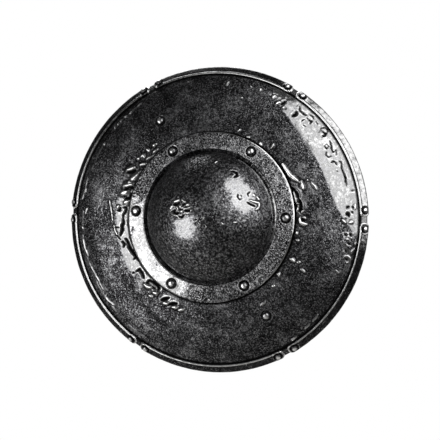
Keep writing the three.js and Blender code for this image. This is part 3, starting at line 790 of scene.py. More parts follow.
# The same for the boss
BOSS_STROKES = (
    (1.1, 0.9, 33.9, 205.2, 31.2, 210.4, 28.7, 215.1),
    (1.2, 1.1, 26.6, 216.7, 23.9, 218.3, 21.3, 218.5),
    (1.1, 0.9, 18.7, 211.5, 18.4, 220.2, 16.1, 220.9),
    (1.1, 0.9, 15.5, 206.6, 13.4, 218.5),
    (0.8, 0.7, 11.7, 203.5, 9.3, 214.9),
    (1.1, 1.1, 35.0, 191.5, 34.6, 195.4, 32.9, 198.5, 30.5, 197.2),
    (1.0, 0.9, 29.3, 199.8, 26.3, 196.1, 26.5, 191.2),
    (1.2, 0.7, 25.6, 200.5, 24.0, 205.6),
    (1.3, 0.9, 22.1, 188.7, 19.6, 192.7),
    (0.7, 0.5, 34.2, 185.1, 32.1, 181.8, 27.9, 179.8, 25.6, 178.2, 24.3, 173.5, 21.6, 170.5, 18.4, 173.6,
     15.8, 180.7),
    (1.4, -1.1, 32.8, 201.5, 29.3, 203.1, 27.4, 209.9),
    (1.2, -1.0, 23.6, 209.6, 21.9, 210.5, 20.8, 216.1),
    (1.3, -1.1, 33.1, 188.3, 30.7, 189.6, 28.8, 191.8),
    (1.4, -1.1, 31.1, 185.7, 27.4, 184.5, 24.5, 185.7),
    (1.0, -1.0, 24.5, 195.3, 22.6, 195.1, 20.9, 198.3),
    (1.2, -1.0, 18.2, 197.0, 15.7, 197.2, 12.5, 202.4),
    (1.2, -1.1, 23.3, 177.9, 21.4, 173.8, 19.0, 177.3, 17.2, 181.8),
    (0.9, -0.6, 19.2, 206.0, 17.5, 210.8),
    (0.9, -0.6, 8.0, 136.7, 5.8, 128.1),
    (0.6, 0.4, 6.7, 94.9, 6.3, 57.7, 5.5, 35.4, 3.3, 45.4, 4.0, 80.2),
    (0.7, 0.5, 8.4, 104.8, 10.8, 84.4),
    (0.9, -0.6, 12.2, 72.7, 13.5, 66.4),
    (1.0, -0.6, 43.7, 329.6, 42.0, 333.3, 43.2, 337.7, 45.9, 337.0),
    (0.8, -0.4, 45.3, 332.2, 46.4, 335.0),
    (1.0, -0.4, 55.0, 333.1, 52.3, 333.9, 51.6, 337.9),
    (1.0, 0.5, 56.3, 336.4, 57.1, 339.5),
    (1.1, 0.6, 58.8, 340.0, 60.1, 344.0),
    (1.2, -0.8, 48.9, 344.2, 51.9, 347.7, 55.2, 350.5),
    (1.1, 0.7, 51.7, 342.5, 55.7, 345.2, 59.2, 347.6, 58.5, 351.8, 55.3, 354.1),
    (1.0, 0.7, 56.7, 279.7, 59.6, 281.7),
    (0.7, 0.4, 64.1, 290.2, 65.6, 291.3),
    (1.3, -0.4, 54.9, 300.5, 56.5, 305.8, 55.1, 309.5, 51.4, 308.5),
    (0.8, 0.4, 23.3, 22.3, 26.2, 23.1),
    (0.8, 0.4, 35.0, 13.4, 38.2, 11.6),
)


def on_plate(radius, angle):
    return on_shield(radius, angle, 0.0)[0]


def plate_section():
    """The plate's stations: hidden seat, open dish, edge, then the back; with its points round."""
    # The ring covers the plate to a radius of 90 mm, so it is only coarse up to there
    under_ring = np.linspace(HAND_HOLE_RADIUS, 89.0, 4)
    dish = np.linspace(90.0, EDGE_RADIUS - 0.4, 83)
    back = np.linspace(EDGE_RADIUS - 0.4, HAND_HOLE_RADIUS, 20)
    edge = arc(FOLD_CENTRE, PLATE_THICKNESS / 2, *FOLD_TURNS, 5)[1:-1]
    line = np.concatenate([lifted(under_ring, 0), lifted(dish, 0), edge, lifted(back, -PLATE_THICKNESS)])
    side = np.concatenate([fade(under_ring, 80, 89), np.ones(len(dish)), np.zeros(len(edge) + len(back))])
    seen = len(dish) + len(edge)
    steps = np.repeat([1, 2, 1], [len(under_ring), seen, len(back)]) * (PLATE_POINTS_ROUND // 2)
    return line, side, steps


def worn_bead(surface, where, height):
    """A low bead hammered in along a circle, worn away in places."""
    turn = surface.turn
    wander = 0.9 * np.sin(np.radians(turn * 3 + 40)) + 0.5 * np.sin(np.radians(turn * 7))
    left = fade(uneven(surface.points, [(11, 1.0)], 61), -0.15, 0.2)
    lower_left = fade(np.cos(np.radians(turn - 185)), 0.1, 0.6)
    upper_right = fade(np.cos(np.radians(turn - 45)), 0.7, 0.9)
    kept = np.clip(lower_left + 0.5 * upper_right, 0, 1)
    bead = ridge(surface.radius, where + wander, 0.9) * left * kept
    surface.height += height * bead
    surface.tint(bead, rubbed_and_sheen=0.9)


def make_plate():
    line, side, steps = plate_section()
    shell = revolve(line, side, steps, closed=True)
    points, normals, front = shell.stack()
    surface = Surface(points)
    radius = surface.radius
    open_dish = fade(radius, 90.5, 95) * (1 - fade(radius, 154, 158))
    surface.hammer([(42, 0.4), (19, 0.18)], 3, where=open_dish)
    broad = surface.height.copy()
    surface.hammer([(9, 0.09), (4.2, 0.07), (2.1, 0.05)], 11, where=front * open_dish)
    # Bare metal: the crescent, partly painted sheen as it follows the right softbox's reflection, a chafed
    # patch at the right, and two steps of arc at the lower left, painted lighter as a highlight along the
    # ring
    crescent = np.interp((surface.turn + 180) % 360, *np.transpose(CRESCENT_EDGE))
    surface.tint(fade(radius - crescent, -4.0, -0.5), rubbed_and_sheen=0.75)
    chafed = ([(5, 1.0), (2.4, 0.8)], 41, 0.0, 0.5)
    surface.tint_zone((10, 16, 10), start=(138, 146), stop=(152, 156), patches=chafed, rubbed_and_sheen=0.8)
    # Painted highlight: two arcs lighter along the ring at the lower left
    surface.tint_zone((172, 34, 12), stop=(104, 111), rubbed_and_sheen=0.72)
    surface.tint_zone((148, 24, 8), stop=(98, 103), rubbed_and_sheen=0.72)
    # Less worn: a sweep near the rim at the left and one by the ring, and the scoured left side
    swept = ([(13, 1.0), (5, 0.8)], 45, -0.5, 0.3)
    surface.tint_zone((155, 26, 14), start=(141, 145), stop=(151, 154), patches=swept, rubbed_and_sheen=0.52)
    surface.tint_zone((348, 30, 18), stop=(116, 128), patches=swept, rubbed_and_sheen=0.52)
    scoured = ([(17, 1.0), (6, 0.6)], 43, -0.1, 0.7)
    surface.tint_zone((160, 64, 26), stop=(122, 142), patches=scoured, rubbed_and_sheen=0.4)
    # Darker in patches at the bottom and at the top
    darker_patches = ([(24, 1.0), (9, 0.5)], 47, -0.1, 0.6)
    surface.tint_zone((62, 46, 18), patches=darker_patches, grime_and_shade=0.45)
    surface.tint_zone((262, 34, 14), patches=darker_patches, grime_and_shade=0.36)
    # Long streaks of soot and of wear that run round the dish
    swirl = np.stack([30 * points[:, 0] / radius, radius, 30 * points[:, 2] / radius], -1)
    streaks = uneven(swirl, [(15, 1.0), (6, 0.5)], 51) * (1 - np.clip(surface.rubbed_and_sheen / 0.6, 0, 1))
    surface.tint(fade(streaks, 0.1, 0.6), grime_and_shade=0.4)
    surface.tint(fade(-streaks, 0.15, 0.65), rubbed_and_sheen=0.3)
    worn_bead(surface, 149.6, 0.45)
    surface.strike(PLATE_STROKES, on_plate, 7)
    seats = [on_plate(GRIP_RIVET_RADIUS, angle) for angle in (GRIP_ANGLE, GRIP_ANGLE + 180)]
    surface.ring_seats(seats, 4.6, 5.4, 0.4)
    # Painted shade in the corners along the ring, where the plate is a little sunk, and along the rim
    # strips
    ring_foot = 1 - fade(radius, 92.7, 94.0)
    surface.height -= 0.5 * ring_foot * fade(radius, 89.5, 91)
    strip_gap_shade = fade(radius, 154.0, 155.0) * (1 - 0.7 * fade(radius, 157.5, 159.0))
    surface.tint(np.maximum(ring_foot, strip_gap_shade), grime_and_shade=1.0)
    moved = surface.pushed(normals, front) + normals * ((1 - front) * broad)[:, None]
    piece = mesh_object("Plate", off_round(moved), shell.faces, surface.marks(front))
    finish_piece(piece, plate_steel, ["dished_plate"])


def new_tree(name, inputs, output):
    """A geometry node tree, its named inputs as (name, kind, first value), and what they give."""
    tree = bpy.data.node_groups.new(name, "GeometryNodeTree")
    for label, kind, first in inputs:
        socket = tree.interface.new_socket(label, in_out="INPUT", socket_type="NodeSocket" + kind)
        if first is not None:
            socket.default_value = first
    tree.interface.new_socket(output, in_out="OUTPUT", socket_type="NodeSocketGeometry")
    return tree, add(tree, "NodeGroupInput").outputs


def turned_band_tree():
    """Geometry nodes that sweep a tilted bar with rounded edges round the shield's axis."""
    inputs = (
        ("Middle Radius", "Float", 0.08), ("Middle Place", "Float", -0.03), ("Width", "Float", 0.018),
        ("Thickness", "Float", 0.002), ("Edge Radius", "Float", 0.0004), ("Slope", "Float", 0.17),
        ("Grain Step", "Float", 0.0006), ("Points Round", "Int", 1000), ("Steel", "Material", None),
    )
    tree, given = new_tree("Turned band", inputs, "Band")
    path = add(
        tree, "GeometryNodeCurvePrimitiveCircle", {"mode": "RADIUS"},
        Resolution=given["Points Round"], Radius=given["Middle Radius"],
    )
    bar = add(
        tree, "GeometryNodeCurvePrimitiveQuadrilateral", {"mode": "RECTANGLE"},
        Width=given["Width"], Height=given["Thickness"],
    )
    bar = add(
        tree, "GeometryNodeFilletCurve", {"mode": "POLY"}, Curve=bar, Count=3, Radius=given["Edge Radius"]
    )
    bar = add(
        tree, "GeometryNodeResampleCurve", {"mode": "LENGTH"}, Curve=bar, Length=given["Grain Step"]
    )
    tilt = add(tree, "ShaderNodeCombineXYZ", Z=given["Slope"])
    bar = add(tree, "GeometryNodeTransform", Geometry=bar, Rotation=tilt)
    band = add(tree, "GeometryNodeCurveToMesh", Curve=path, Profile_Curve=bar, Fill_Caps=False)
    drop = add(tree, "ShaderNodeCombineXYZ", Y=given["Middle Place"])
    band = add(
        tree, "GeometryNodeTransform", Geometry=band, Translation=drop, Rotation=(math.pi / 2, 0, 0)
    )
    band = add(tree, "GeometryNodeRealizeInstances", Geometry=band)
    band = add(tree, "GeometryNodeSetMaterial", Geometry=band, Material=given["Steel"])
    add(tree, "NodeGroupOutput", Band=band)
    return tree


def run_tree(name, mesh, tree, values):
    """A plain mesh made by a node tree from a start mesh and its named inputs."""
    holder = place_object(name + "-start", mesh)
    step = holder.modifiers.new(tree.name, "NODES")
    step.node_group = tree
    socket = {item.name: item.identifier for item in tree.interface.items_tree if item.in_out == "INPUT"}
    for label, value in values.items():
        step[socket[label]] = value
    made = bpy.data.meshes.new_from_object(holder.evaluated_get(bpy.context.evaluated_depsgraph_get()))
    holder.modifiers.remove(step)
    bpy.data.objects.remove(holder)
    made.name = name
    outward(made)
    return made


def make_ring():
    """The clamping ring, swept by nodes; then its hammered face, its painted shade, highlights and darker
    patches, and rivet seats.
    """
    middle = lifted(RING_RIVET_RADIUS, (RING_BACK + RING_FRONT) / 2)
    half = (RING_OUTER_RADIUS - RING_INNER_RADIUS) / math.cos(SEAT_SLOPE) / 2
    values = {
        "Middle Radius": middle[0] * MM,
        "Middle Place": middle[1] * MM,
        "Width": 2 * half * MM,
        "Thickness": RING_THICKNESS * MM,
        "Edge Radius": 1.0 * MM,
        "Slope": SEAT_SLOPE,
        "Grain Step": 0.55 * MM,
        "Points Round": RING_POINTS_ROUND,
        "Steel": ring_steel,
    }
    mesh = run_tree("Boss-ring", bpy.data.meshes.new("Boss-ring-start"), turned_band_tree(), values)
    points = np.empty(3 * len(mesh.vertices), np.float32)
    mesh.vertices.foreach_get("co", points)
    points = points.reshape(-1, 3).astype(float) / MM
    surface = Surface(points)
    from_middle = np.stack([surface.radius, points[:, 1]], -1) - middle
    across = from_middle @ [math.cos(SEAT_SLOPE), math.sin(SEAT_SLOPE)]
    lift = from_middle @ [math.sin(SEAT_SLOPE), -math.cos(SEAT_SLOPE)]
    face = fade(lift, 0.2, 0.9)
    surface.hammer([(24, 0.14), (9, 0.10), (3.5, 0.07), (1.8, 0.05)], 31, where=face)
    # The edges: a painted highlight outside towards the upper right, a little lighter along the inner
    # edge, and painted shade outside at the lower left and underneath
    outer_edge = fade(across, half - 1.3, half - 0.7) * fade(lift, -0.4, 0.1)
    surface.tint(outer_edge * (0.1 + 0.9 * window(surface.turn, 340, 80, 20)), rubbed_and_sheen=1.0)
    surface.tint(fade(-across, half - 1.3, half - 0.7) * face, rubbed_and_sheen=0.3)
    surface.tint(1 - fade(lift, -0.9, -0.3), grime_and_shade=0.6)
    surface.tint_zone((180, 88, 20), on=fade(across, half - 1.1, half - 0.5), grime_and_shade=0.9)
    # The face: darker in patches at the bottom and the top, lighter and smoother at the lower left and a
    # little at the upper right, where the softboxes reflect, so partly painted sheen
    for sector in ((76, 24, 14), (252, 26, 14)):
        surface.tint_zone(sector, patches=([(5, 1.0)], 39, -0.5, 0.3), on=face, grime_and_shade=0.45)
    smooth = ([(16, 1.0), (5, 0.6)], 37, -0.95, -0.5)
    surface.tint_zone((152, 50, 14), patches=smooth, on=face, rubbed_and_sheen=0.67)
    surface.tint_zone((325, 50, 20), on=face, rubbed_and_sheen=0.25)
    surface.height -= 0.8 * np.clip((across - half + 1.7) / 1.2, 0, 1) * face
    seats = [on_shield(RING_RIVET_RADIUS, angle, RING_FRONT)[0] for angle in RING_RIVET_ANGLES]
    surface.ring_seats(seats, 4.4, 5.5, 0.5)
    out = points * [1, 0, 1] / surface.radius[:, None]
    moved = surface.pushed(math.sin(SEAT_SLOPE) * out - [0, math.cos(SEAT_SLOPE), 0])
    mesh.vertices.foreach_set("co", (moved * MM).astype(np.float32).ravel())
    write_marks(mesh, surface.marks())
    mesh.shade_smooth()
    finish_piece(place_object("Boss-ring", mesh), ring_steel, ["boss_ring"])


def boss_arcs():
    """Centres of the boss's foot fillet and dome, and the dome's radius, on its front face."""
    foot = lifted(BOSS_FOOT_RADIUS, FLANGE_FRONT)
    fillet = (foot[0] + BOSS_FILLET * math.sin(SEAT_SLOPE), foot[1] - BOSS_FILLET * math.cos(SEAT_SLOPE))
    dome_radius = (fillet[0] - BOSS_FILLET * math.sin(BOSS_FOOT_SLOPE)) / math.sin(BOSS_FOOT_SLOPE)
    dome = (0, fillet[1] + (BOSS_FILLET + dome_radius) * math.cos(BOSS_FOOT_SLOPE))
    return fillet, dome, dome_radius


def boss_face(depth, step):
    """One face of the boss from its top out to the flange's edge, at a depth under its front."""
    fillet_centre, dome_centre, dome_radius = boss_arcs()
    dome = arc(dome_centre, dome_radius - depth, -math.pi / 2, BOSS_FOOT_SLOPE - math.pi / 2, 200)
    dome[0, 0] = 0
    turns = (BOSS_FOOT_SLOPE + math.pi / 2, SEAT_SLOPE + math.pi / 2)
    fillet = arc(fillet_centre, BOSS_FILLET + depth, *turns, 24)
    flange = lifted(np.linspace(BOSS_FOOT_RADIUS + 1, FLANGE_RADIUS, 8), FLANGE_FRONT - depth)
    return even_line(np.concatenate([dome, fillet[1:], flange]), step)


def on_boss(radius, angle):
    _, centre, dome_radius = boss_arcs()
    return radius * spoke(angle) + [0, centre[1] - math.sqrt(dome_radius**2 - radius**2), 0]


def points_round(radius, width):
    """How many points go round at a radius: 11 times a power of two, so rings double cleanly."""
    wanted = TAU * radius / width
    count = 11
    # 1.42 is about the square root of two, halfway from one such number to the next
    while count * 1.42 < wanted:
        count *= 2
    return count


# Worn patches of the dome, laid where its highlights fall, so partly painted sheen: place, reach and how
# rubbed
BOSS_PATCHES = (((22.5, 142.0), 18, 0.55), ((47.0, 338.1), 21, 0.62), ((47.0, 316.0), 15, 0.6))


def make_boss():
    front = boss_face(0, BOSS_FRONT_STEP)
    back = boss_face(BOSS_THICKNESS, BOSS_BACK_STEP)[::-1]
    side = np.concatenate([1 - fade(front[:, 0], 73.0, 75.5), np.zeros(len(back))])
    steps = [points_round(r, BOSS_FRONT_WIDTH) for r in front[:, 0]]
    steps += [min(BOSS_BACK_POINTS_ROUND, points_round(r, BOSS_BACK_WIDTH)) for r in back[:, 0]]
    for i in range(1, len(steps)):
        steps[i] = min(max(steps[i], steps[i - 1] // 2), steps[i - 1] * 2)
    shell = revolve(np.concatenate([front, back]), side, steps, closed=False)
    points, normals, share = shell.stack()
    surface = Surface(points)
    dome = 1 - fade(surface.radius, 66, 73)
    surface.hammer([(60, 0.45), (24, 0.2), (10, 0.08)], 53, where=dome)
    surface.hammer([(4.5, 0.05), (2.2, 0.035)], 57, where=dome)
    surface.strike(BOSS_STROKES, on_boss, 23)
    for place, reach, rubbed_and_sheen in BOSS_PATCHES:
        # Lighter, smoother patches under the dome's two highlights: wear and painted sheen
        away = np.linalg.norm(points - on_boss(*place), axis=1) + 3.0 * uneven(points, [(7, 1.0)], 59)
        surface.tint(1 - fade(away, 0.5 * reach, reach), rubbed_and_sheen=rubbed_and_sheen)
    # The foot is painted lighter at the upper right and the lower left, where its fillet catches the
    # softboxes, with painted shade in its corner; the dome is darker at its lower right
    surface.tint_zone((335, 55, 20), start=(66.5, 68.5), on=share, rubbed_and_sheen=0.8)
    surface.tint_zone((165, 70, 30), start=(65.5, 68.5), on=share, rubbed_and_sheen=0.7)
    surface.tint(fade(surface.radius, 72.2, 72.8) * share, grime_and_shade=0.6)
    surface.tint_zone((55, 40, 24), start=(14, 34), on=share, grime_and_shade=0.35)
    piece = mesh_object("Boss", surface.pushed(normals, share), shell.faces, surface.marks(share))
    finish_piece(piece, boss_steel, ["boss"])


def strip_section():
    """The folded strip's section as two lines of points, outside and inside."""
    swing = np.linspace(0, math.pi / 2, 8)[:-1]
    corner = LEG_INNER_RADIUS + STRIP_CORNER * (1 - np.cos(swing)) * math.cos(RIM_SLOPE)
    leg = np.linspace(LEG_INNER_RADIUS + STRIP_CORNER * math.cos(RIM_SLOPE), EDGE_RADIUS, 20)[:-1]
    drop = np.concatenate([STRIP_CORNER * (1 - np.sin(swing)), np.zeros(len(leg))])
    leg = np.concatenate([corner, leg])
    outside, inside = (
        np.concatenate(
            [lifted(leg, front), arc(FOLD_CENTRE, fold, *FOLD_TURNS, 16), lifted(leg[::-3], back)]
        )
        for front, fold, back in (
            (BINDING_FRONT - drop, FOLD_RADIUS, BINDING_BACK),
            (SEAT_GAP, FOLD_INNER_RADIUS, -PLATE_THICKNESS - SEAT_GAP),
        )
    )
    outside[:, 1] = np.minimum(outside[:, 1], GRIP_TO_RIM_PLANE)
    return outside, inside


def make_strip(index):
    """One rim strip, from past one rivet to past the next pair's first rivet, with rounded ends."""
    outside, inside = strip_section()
    start = PAIR_ANGLES[index] + PAIR_HALF_ANGLE
    end = PAIR_ANGLES[(index + 1) % 6] - PAIR_HALF_ANGLE
    end += 360 if end < start else 0
    seat = lifted(RIM_RIVET_RADIUS, BINDING_FRONT)
    width = (outside - seat) @ np.array([math.cos(RIM_SLOPE), math.sin(RIM_SLOPE)])
    reach = np.sqrt(np.clip(STRIP_END_RADIUS**2 - width**2, 3.0, None))
    cap = np.sin(np.linspace(0, math.pi / 2, 14))[:-1]
    middle = start + (end - start) * np.linspace(0, 1, STRIP_STATIONS)
    grids, gaps = [], []
    for line in (outside, inside):
        sweep = np.degrees(reach / line[:, 0])
        spans = (start - sweep * (1 - cap[:, None]), np.repeat(middle[:, None], len(line), 1),
                 end + sweep * cap[1:, None], end + sweep[None, :])
        angle = np.concatenate(spans)
        gap = np.minimum(angle - (start - sweep), end + sweep - angle)
        gaps.append(np.radians(gap) * line[:, 0])
        angle = np.radians(angle)
        x, z = line[:, 0] * np.cos(angle), -line[:, 0] * np.sin(angle)
        grids.append(np.stack([x, np.broadcast_to(line[:, 1], x.shape), z], -1))
    points, faces = slab(*grids)
    surface = Surface(points)
    stations, rows = len(outside), len(points) // len(outside)
    out = np.zeros((len(points), 2))
    out[: len(points) // 2] = np.tile(section_normals(outside, False), (rows // 2, 1))
    turn = np.radians(surface.turn)
    normals = np.stack([out[:, 0] * np.cos(turn), out[:, 1], -out[:, 0] * np.sin(turn)], -1)
    on_front = np.tile(np.arange(stations) < STRIP_FRONT_STATIONS, rows)
    on_front[len(points) // 2 :] = False
    from_edge = np.tile(lengths_along(outside), rows)
    from_end = np.concatenate(gaps).ravel()
    surface.hammer([(22, 0.16), (8, 0.10), (3.2, 0.05)], 71, where=on_front)
    bead = ridge(from_edge, 1.9, 1.0)
    crease = ridge(from_edge, 3.7, 0.6) * fade(uneven(points, [(30, 1.0)], 77), -0.1, 0.3)
    surface.height += on_front * (0.55 * bead - 0.25 * crease)
    surface.height -= on_front * 0.8 * (1 - fade(from_end, 0, 1.3))
    # Painted highlights along the rounded ends and the inner edge, lighter strips at the upper right that
    # are partly painted sheen, and painted shade in the crease
    surface.tint((1 - fade(from_end, 1.3, 2.0)) * on_front, rubbed_and_sheen=1.0)
    bright_line = (1 - fade(from_edge, 1.9, 2.7)) * (1 - 0.4 * window(surface.turn, 235, 34, 16))
    surface.tint(bright_line * on_front, rubbed_and_sheen=1.0)
    surface.tint_zone((334, 46, 14), on=on_front, rubbed_and_sheen=0.73)
    surface.tint(crease * on_front, grime_and_shade=0.4)
    seats = [on_shield(RIM_RIVET_RADIUS, angle, BINDING_FRONT)[0] for angle in (start, end)]
    surface.ring_seats(seats, 3.6, 4.4, 0.3)
    moved = off_round(surface.pushed(normals, on_front))
    piece = mesh_object(f"Rim-strip-{index + 1}", moved, faces, surface.marks())
    finish_piece(piece, binding_steel, [f"rim_binding_{index + 1}"])


# Rivets: head, head height, shank, tail and tail height
RING_RIVET = (8.6, 2.9, 4.0, 6.6, 1.4)
RIM_RIVET = (7.2, 2.6, 3.2, 5.2, 1.1)
GRIP_RIVET = (8.6, 2.9, 4.4, 7.6, 1.6)
PIN = (6.4, 1.0, 4.4, 6.4, 1.0)


def rivet_profile(size, stack):
    """A rivet's (radius, height) line: domed head on the sheets, shank, hammered tail."""
    head, rise, shank, tail, drop = size
    turn = np.linspace(0, math.pi / 2, 9)
    crown = np.stack([head / 2 * np.sin(turn) ** 0.9, rise * np.cos(turn) ** 0.85], -1)
    under = np.array([[head / 2 - 0.2, -0.25], [shank / 2, -0.25], [shank / 2, -stack + 0.2]])
    foot = np.stack([tail / 2 * np.cos(turn), -stack - drop * np.sin(turn)], -1)
    return np.concatenate([crown, under, foot])


def rivet_pattern(name, size, stack):
    """One rivet on +Z, with a painted highlight on its head's top and painted shade round the edge of the
    head.
    """
    line = rivet_profile(size, stack)
    line[0, 0] = line[-1, 0] = 0.0
    steps = [RIVET_POINTS_ROUND] * len(line)
    shell = revolve(np.stack([line[:, 0], -line[:, 1]], -1), np.ones(len(line)), steps, closed=False)
    points, _, _ = shell.stack()
    upright = np.stack([points[:, 0], points[:, 2], -points[:, 1]], -1)
    out = 2 * np.hypot(points[:, 0], points[:, 2]) / size[0]
    # Painted highlight on the crown, painted shade round the edge of the head
    marks = {"rubbed_and_sheen": 1 - fade(out, 0.48, 0.7), "grime_and_shade": fade(out, 0.7, 0.9)}
    return mesh_object(name, upright, shell.faces, marks)


def rivet_row_tree():
    """Geometry nodes that set a rivet on each seat, turn it, vary its size and hammer its head."""
    inputs = (
        ("Seats", "Geometry", None), ("Rivet", "Object", None), ("Iron", "Material", None),
        ("Size Spread", "Float", 0.05), ("Dent Height", "Float", 0.0002), ("Dent Size", "Float", 0.003),
        ("Seed", "Int", 4),
    )
    tree, given = new_tree("Rivet row", inputs, "Rivets")
    stand = add(tree, "GeometryNodeInputNamedAttribute", {"data_type": "FLOAT_VECTOR"}, Name="stand")
    upright = add(tree, "FunctionNodeAlignRotationToVector", {"axis": "Z"}, Vector=stand)
    spin = add(
        tree, "FunctionNodeRandomValue", {"data_type": "FLOAT"}, _2=0.0, _3=TAU, Seed=given["Seed"]
    )
    about = add(tree, "ShaderNodeCombineXYZ", Z=spin)
    turned = add(
        tree, "FunctionNodeRotateRotation", {"rotation_space": "LOCAL"}, Rotation=upright, Rotate_By=about
    )
    least, most = (
        add(tree, "ShaderNodeMath", {"operation": change}, _0=1.0, _1=given["Size Spread"])
        for change in ("SUBTRACT", "ADD")
    )
    wide = add(
        tree, "FunctionNodeRandomValue", {"data_type": "FLOAT"}, _2=least, _3=most, Seed=given["Seed"]
    )
    scale = add(tree, "ShaderNodeCombineXYZ", X=wide, Y=wide, Z=1.0)
    pattern = add(tree, "GeometryNodeObjectInfo", Object=given["Rivet"]).outputs["Geometry"]
    rivets = add(
        tree, "GeometryNodeInstanceOnPoints",
        Points=given["Seats"], Instance=pattern, Rotation=turned, Scale=scale,
    )
    rivets = add(tree, "GeometryNodeRealizeInstances", Geometry=rivets)
    fineness = add(tree, "ShaderNodeMath", {"operation": "DIVIDE"}, _0=1.0, _1=given["Dent Size"])
    blow = add(tree, "ShaderNodeTexNoise", Scale=fineness, Detail=1.0)
    blow = add(tree, "ShaderNodeMath", {"operation": "SUBTRACT"}, _0=blow, _1=0.5)
    blow = add(tree, "ShaderNodeMath", {"operation": "MULTIPLY"}, _0=blow, _1=given["Dent Height"])
    normal = add(tree, "GeometryNodeInputNormal")
    push = add(tree, "ShaderNodeVectorMath", {"operation": "SCALE"}, _0=normal, Scale=blow)
    rivets = add(tree, "GeometryNodeSetPosition", Geometry=rivets, Offset=push)
    rivets = add(tree, "GeometryNodeSetShadeSmooth", Geometry=rivets)
    rivets = add(tree, "GeometryNodeSetMaterial", Geometry=rivets, Material=given["Iron"])
    add(tree, "NodeGroupOutput", Rivets=rivets)
    return tree


def rivet_row(name, tree, size, stack, seats, stands, values, nodes):
    """Rivets on seats in millimetres, each standing along its vector, made by the node tree."""
    mesh = bpy.data.meshes.new(name + "-seats")
    mesh.from_pydata((np.array(seats) * MM).tolist(), [], [])
    layer = mesh.attributes.new("stand", "FLOAT_VECTOR", "POINT")
    layer.data.foreach_set("vector", np.array(stands, np.float32).ravel())
    pattern = rivet_pattern(name + "-pattern", size, stack)
    made = run_tree(name, mesh, tree, {"Rivet": pattern, "Iron": rivet_iron, **values})
    bpy.data.objects.remove(pattern)
    finish_piece(place_object(name, made), rivet_iron, nodes)


def make_rivets():
    tree = rivet_row_tree()
    pairs = [angle + side for angle in PAIR_ANGLES for side in (-PAIR_HALF_ANGLE, PAIR_HALF_ANGLE)]
    # Name, size, thickness of what the rivets hold, their radius, angles and lift, the nodes' name
    rows = (
        ("Ring-rivets", RING_RIVET, RING_FRONT + PLATE_THICKNESS, RING_RIVET_RADIUS, RING_RIVET_ANGLES,
         RING_FRONT, "ring_rivet_"),
        ("Rim-rivets", RIM_RIVET, BINDING_FRONT - BINDING_BACK, RIM_RIVET_RADIUS, pairs, BINDING_FRONT,
         "rim_rivet_"),
        ("Grip-rivets", GRIP_RIVET, PLATE_THICKNESS + BAR_THICKNESS + SEAT_GAP, GRIP_RIVET_RADIUS,
         (GRIP_ANGLE, GRIP_ANGLE + 180), 0.0, "grip_rivet_"),
    )
    for name, size, stack, radius, angles, lift, node in rows:
        seats, stands = zip(*(on_shield(radius, angle, lift) for angle in angles))
        nodes = [f"{node}{i + 1}" for i in range(len(angles))]
        dents = {"Dent Height": 0.5 * MM, "Dent Size": 3.5 * MM}
        values = {"Size Spread": 0.05, **dents, "Seed": len(angles)}
        rivet_row(name, tree, size, stack, off_round(np.array(seats)), stands, values, nodes)
    lift = BAR_THICKNESS / 2 + SEAT_GAP
    along = (-PIN_SPACING, 0, PIN_SPACING)
    seats = [x * spoke(GRIP_ANGLE) + [0, lift + float(scale_height(x)), 0] for x in along]
    values = {"Size Spread": 0.02, "Dent Height": 0.2 * MM, "Dent Size": 3.0 * MM, "Seed": 3}
    nodes = [f"grip_pin_{i}" for i in (1, 2, 3)]
    stack = 2 * (lift + SCALE_CROWN)
    rivet_row("Grip-pins", tree, PIN, stack, seats, [(0, 1, 0)] * 3, values, nodes)


def scale_height(x):
    """How thick the wood is at a place along the grip: full in the hand, thin at both ends."""
    share = np.clip(np.abs(x) / (SCALE_LENGTH / 2), 0, 1)
    return SCALE_END_THICKNESS + (SCALE_CROWN - SCALE_END_THICKNESS) * (1 - share**3) ** (1 / 3)


def to_grip_place(points):
    """From the grip's own frame, along X, to its slant behind the boss."""
    along, across = spoke(GRIP_ANGLE), spoke(GRIP_ANGLE - 90)
    return points[:, :1] * along + points[:, 1:2] * [0, 1, 0] + points[:, 2:] * across


def bar_line():
    """The bar's middle line as (x, y): straight in the hand, cranked to the plate at both ends."""
    _, slope = plate_front(GRIP_RIVET_RADIUS)
    rise = math.tan(slope) * (BAR_WIDTH / 2) ** 2 / (2 * GRIP_RIVET_RADIUS)
    lift = -PLATE_THICKNESS - SEAT_GAP - rise - BAR_THICKNESS / 2
    tab_end = GRIP_RIVET_RADIUS + TAB_END_MARGIN
    tab = lifted(np.linspace(tab_end - TAB_LENGTH, tab_end, 14), lift)
    straight = np.array([SCALE_LENGTH / 2, 0])
    _, tab_slope = plate_front(tab_end - TAB_LENGTH)
    pull = (tab[0, 0] - straight[0]) / 2
    handles = (straight, straight + [pull, 0], tab[0] - pull * np.array([1, math.tan(tab_slope)]), tab[0])
    t = np.linspace(0, 1, 26)[:, None]
    weights = ((1 - t) ** 3, 3 * (1 - t) ** 2 * t, 3 * (1 - t) * t**2, t**3)
    crank = sum(weight * handle for weight, handle in zip(weights, handles))
    half = np.concatenate([crank, tab[1:]])
    return even_line(np.concatenate([(half * [-1, 1])[::-1], half]), 1.4)


def make_bar():
    line = bar_line()
    end = line[-1, 0] - BAR_WIDTH / 2
    over = np.clip(np.abs(line[:, 0]) - end, 0, BAR_WIDTH / 2 - 0.05)
    half_width = np.sqrt((BAR_WIDTH / 2) ** 2 - over**2)
    across = np.linspace(-1, 1, 23)
    rounded = BAR_THICKNESS / 2 * (1 - 0.22 * np.abs(across) ** 10)
    normals = section_normals(line, False)[:, None] * rounded[:, None]
    z = half_width[:, None, None] * across[:, None]
    points, faces = slab(*(np.concatenate([line[:, None] + side * normals, z], -1) for side in (-1, 1)))
    surface = Surface(points)
    surface.hammer([(16, 0.25), (6, 0.1)], 91)
    moved = to_grip_place(surface.pushed(np.array([0, 1, 0])))
    piece = mesh_object("Grip-bar", moved, faces, surface.marks())
    finish_piece(piece, grip_iron, ["grip_bar"])


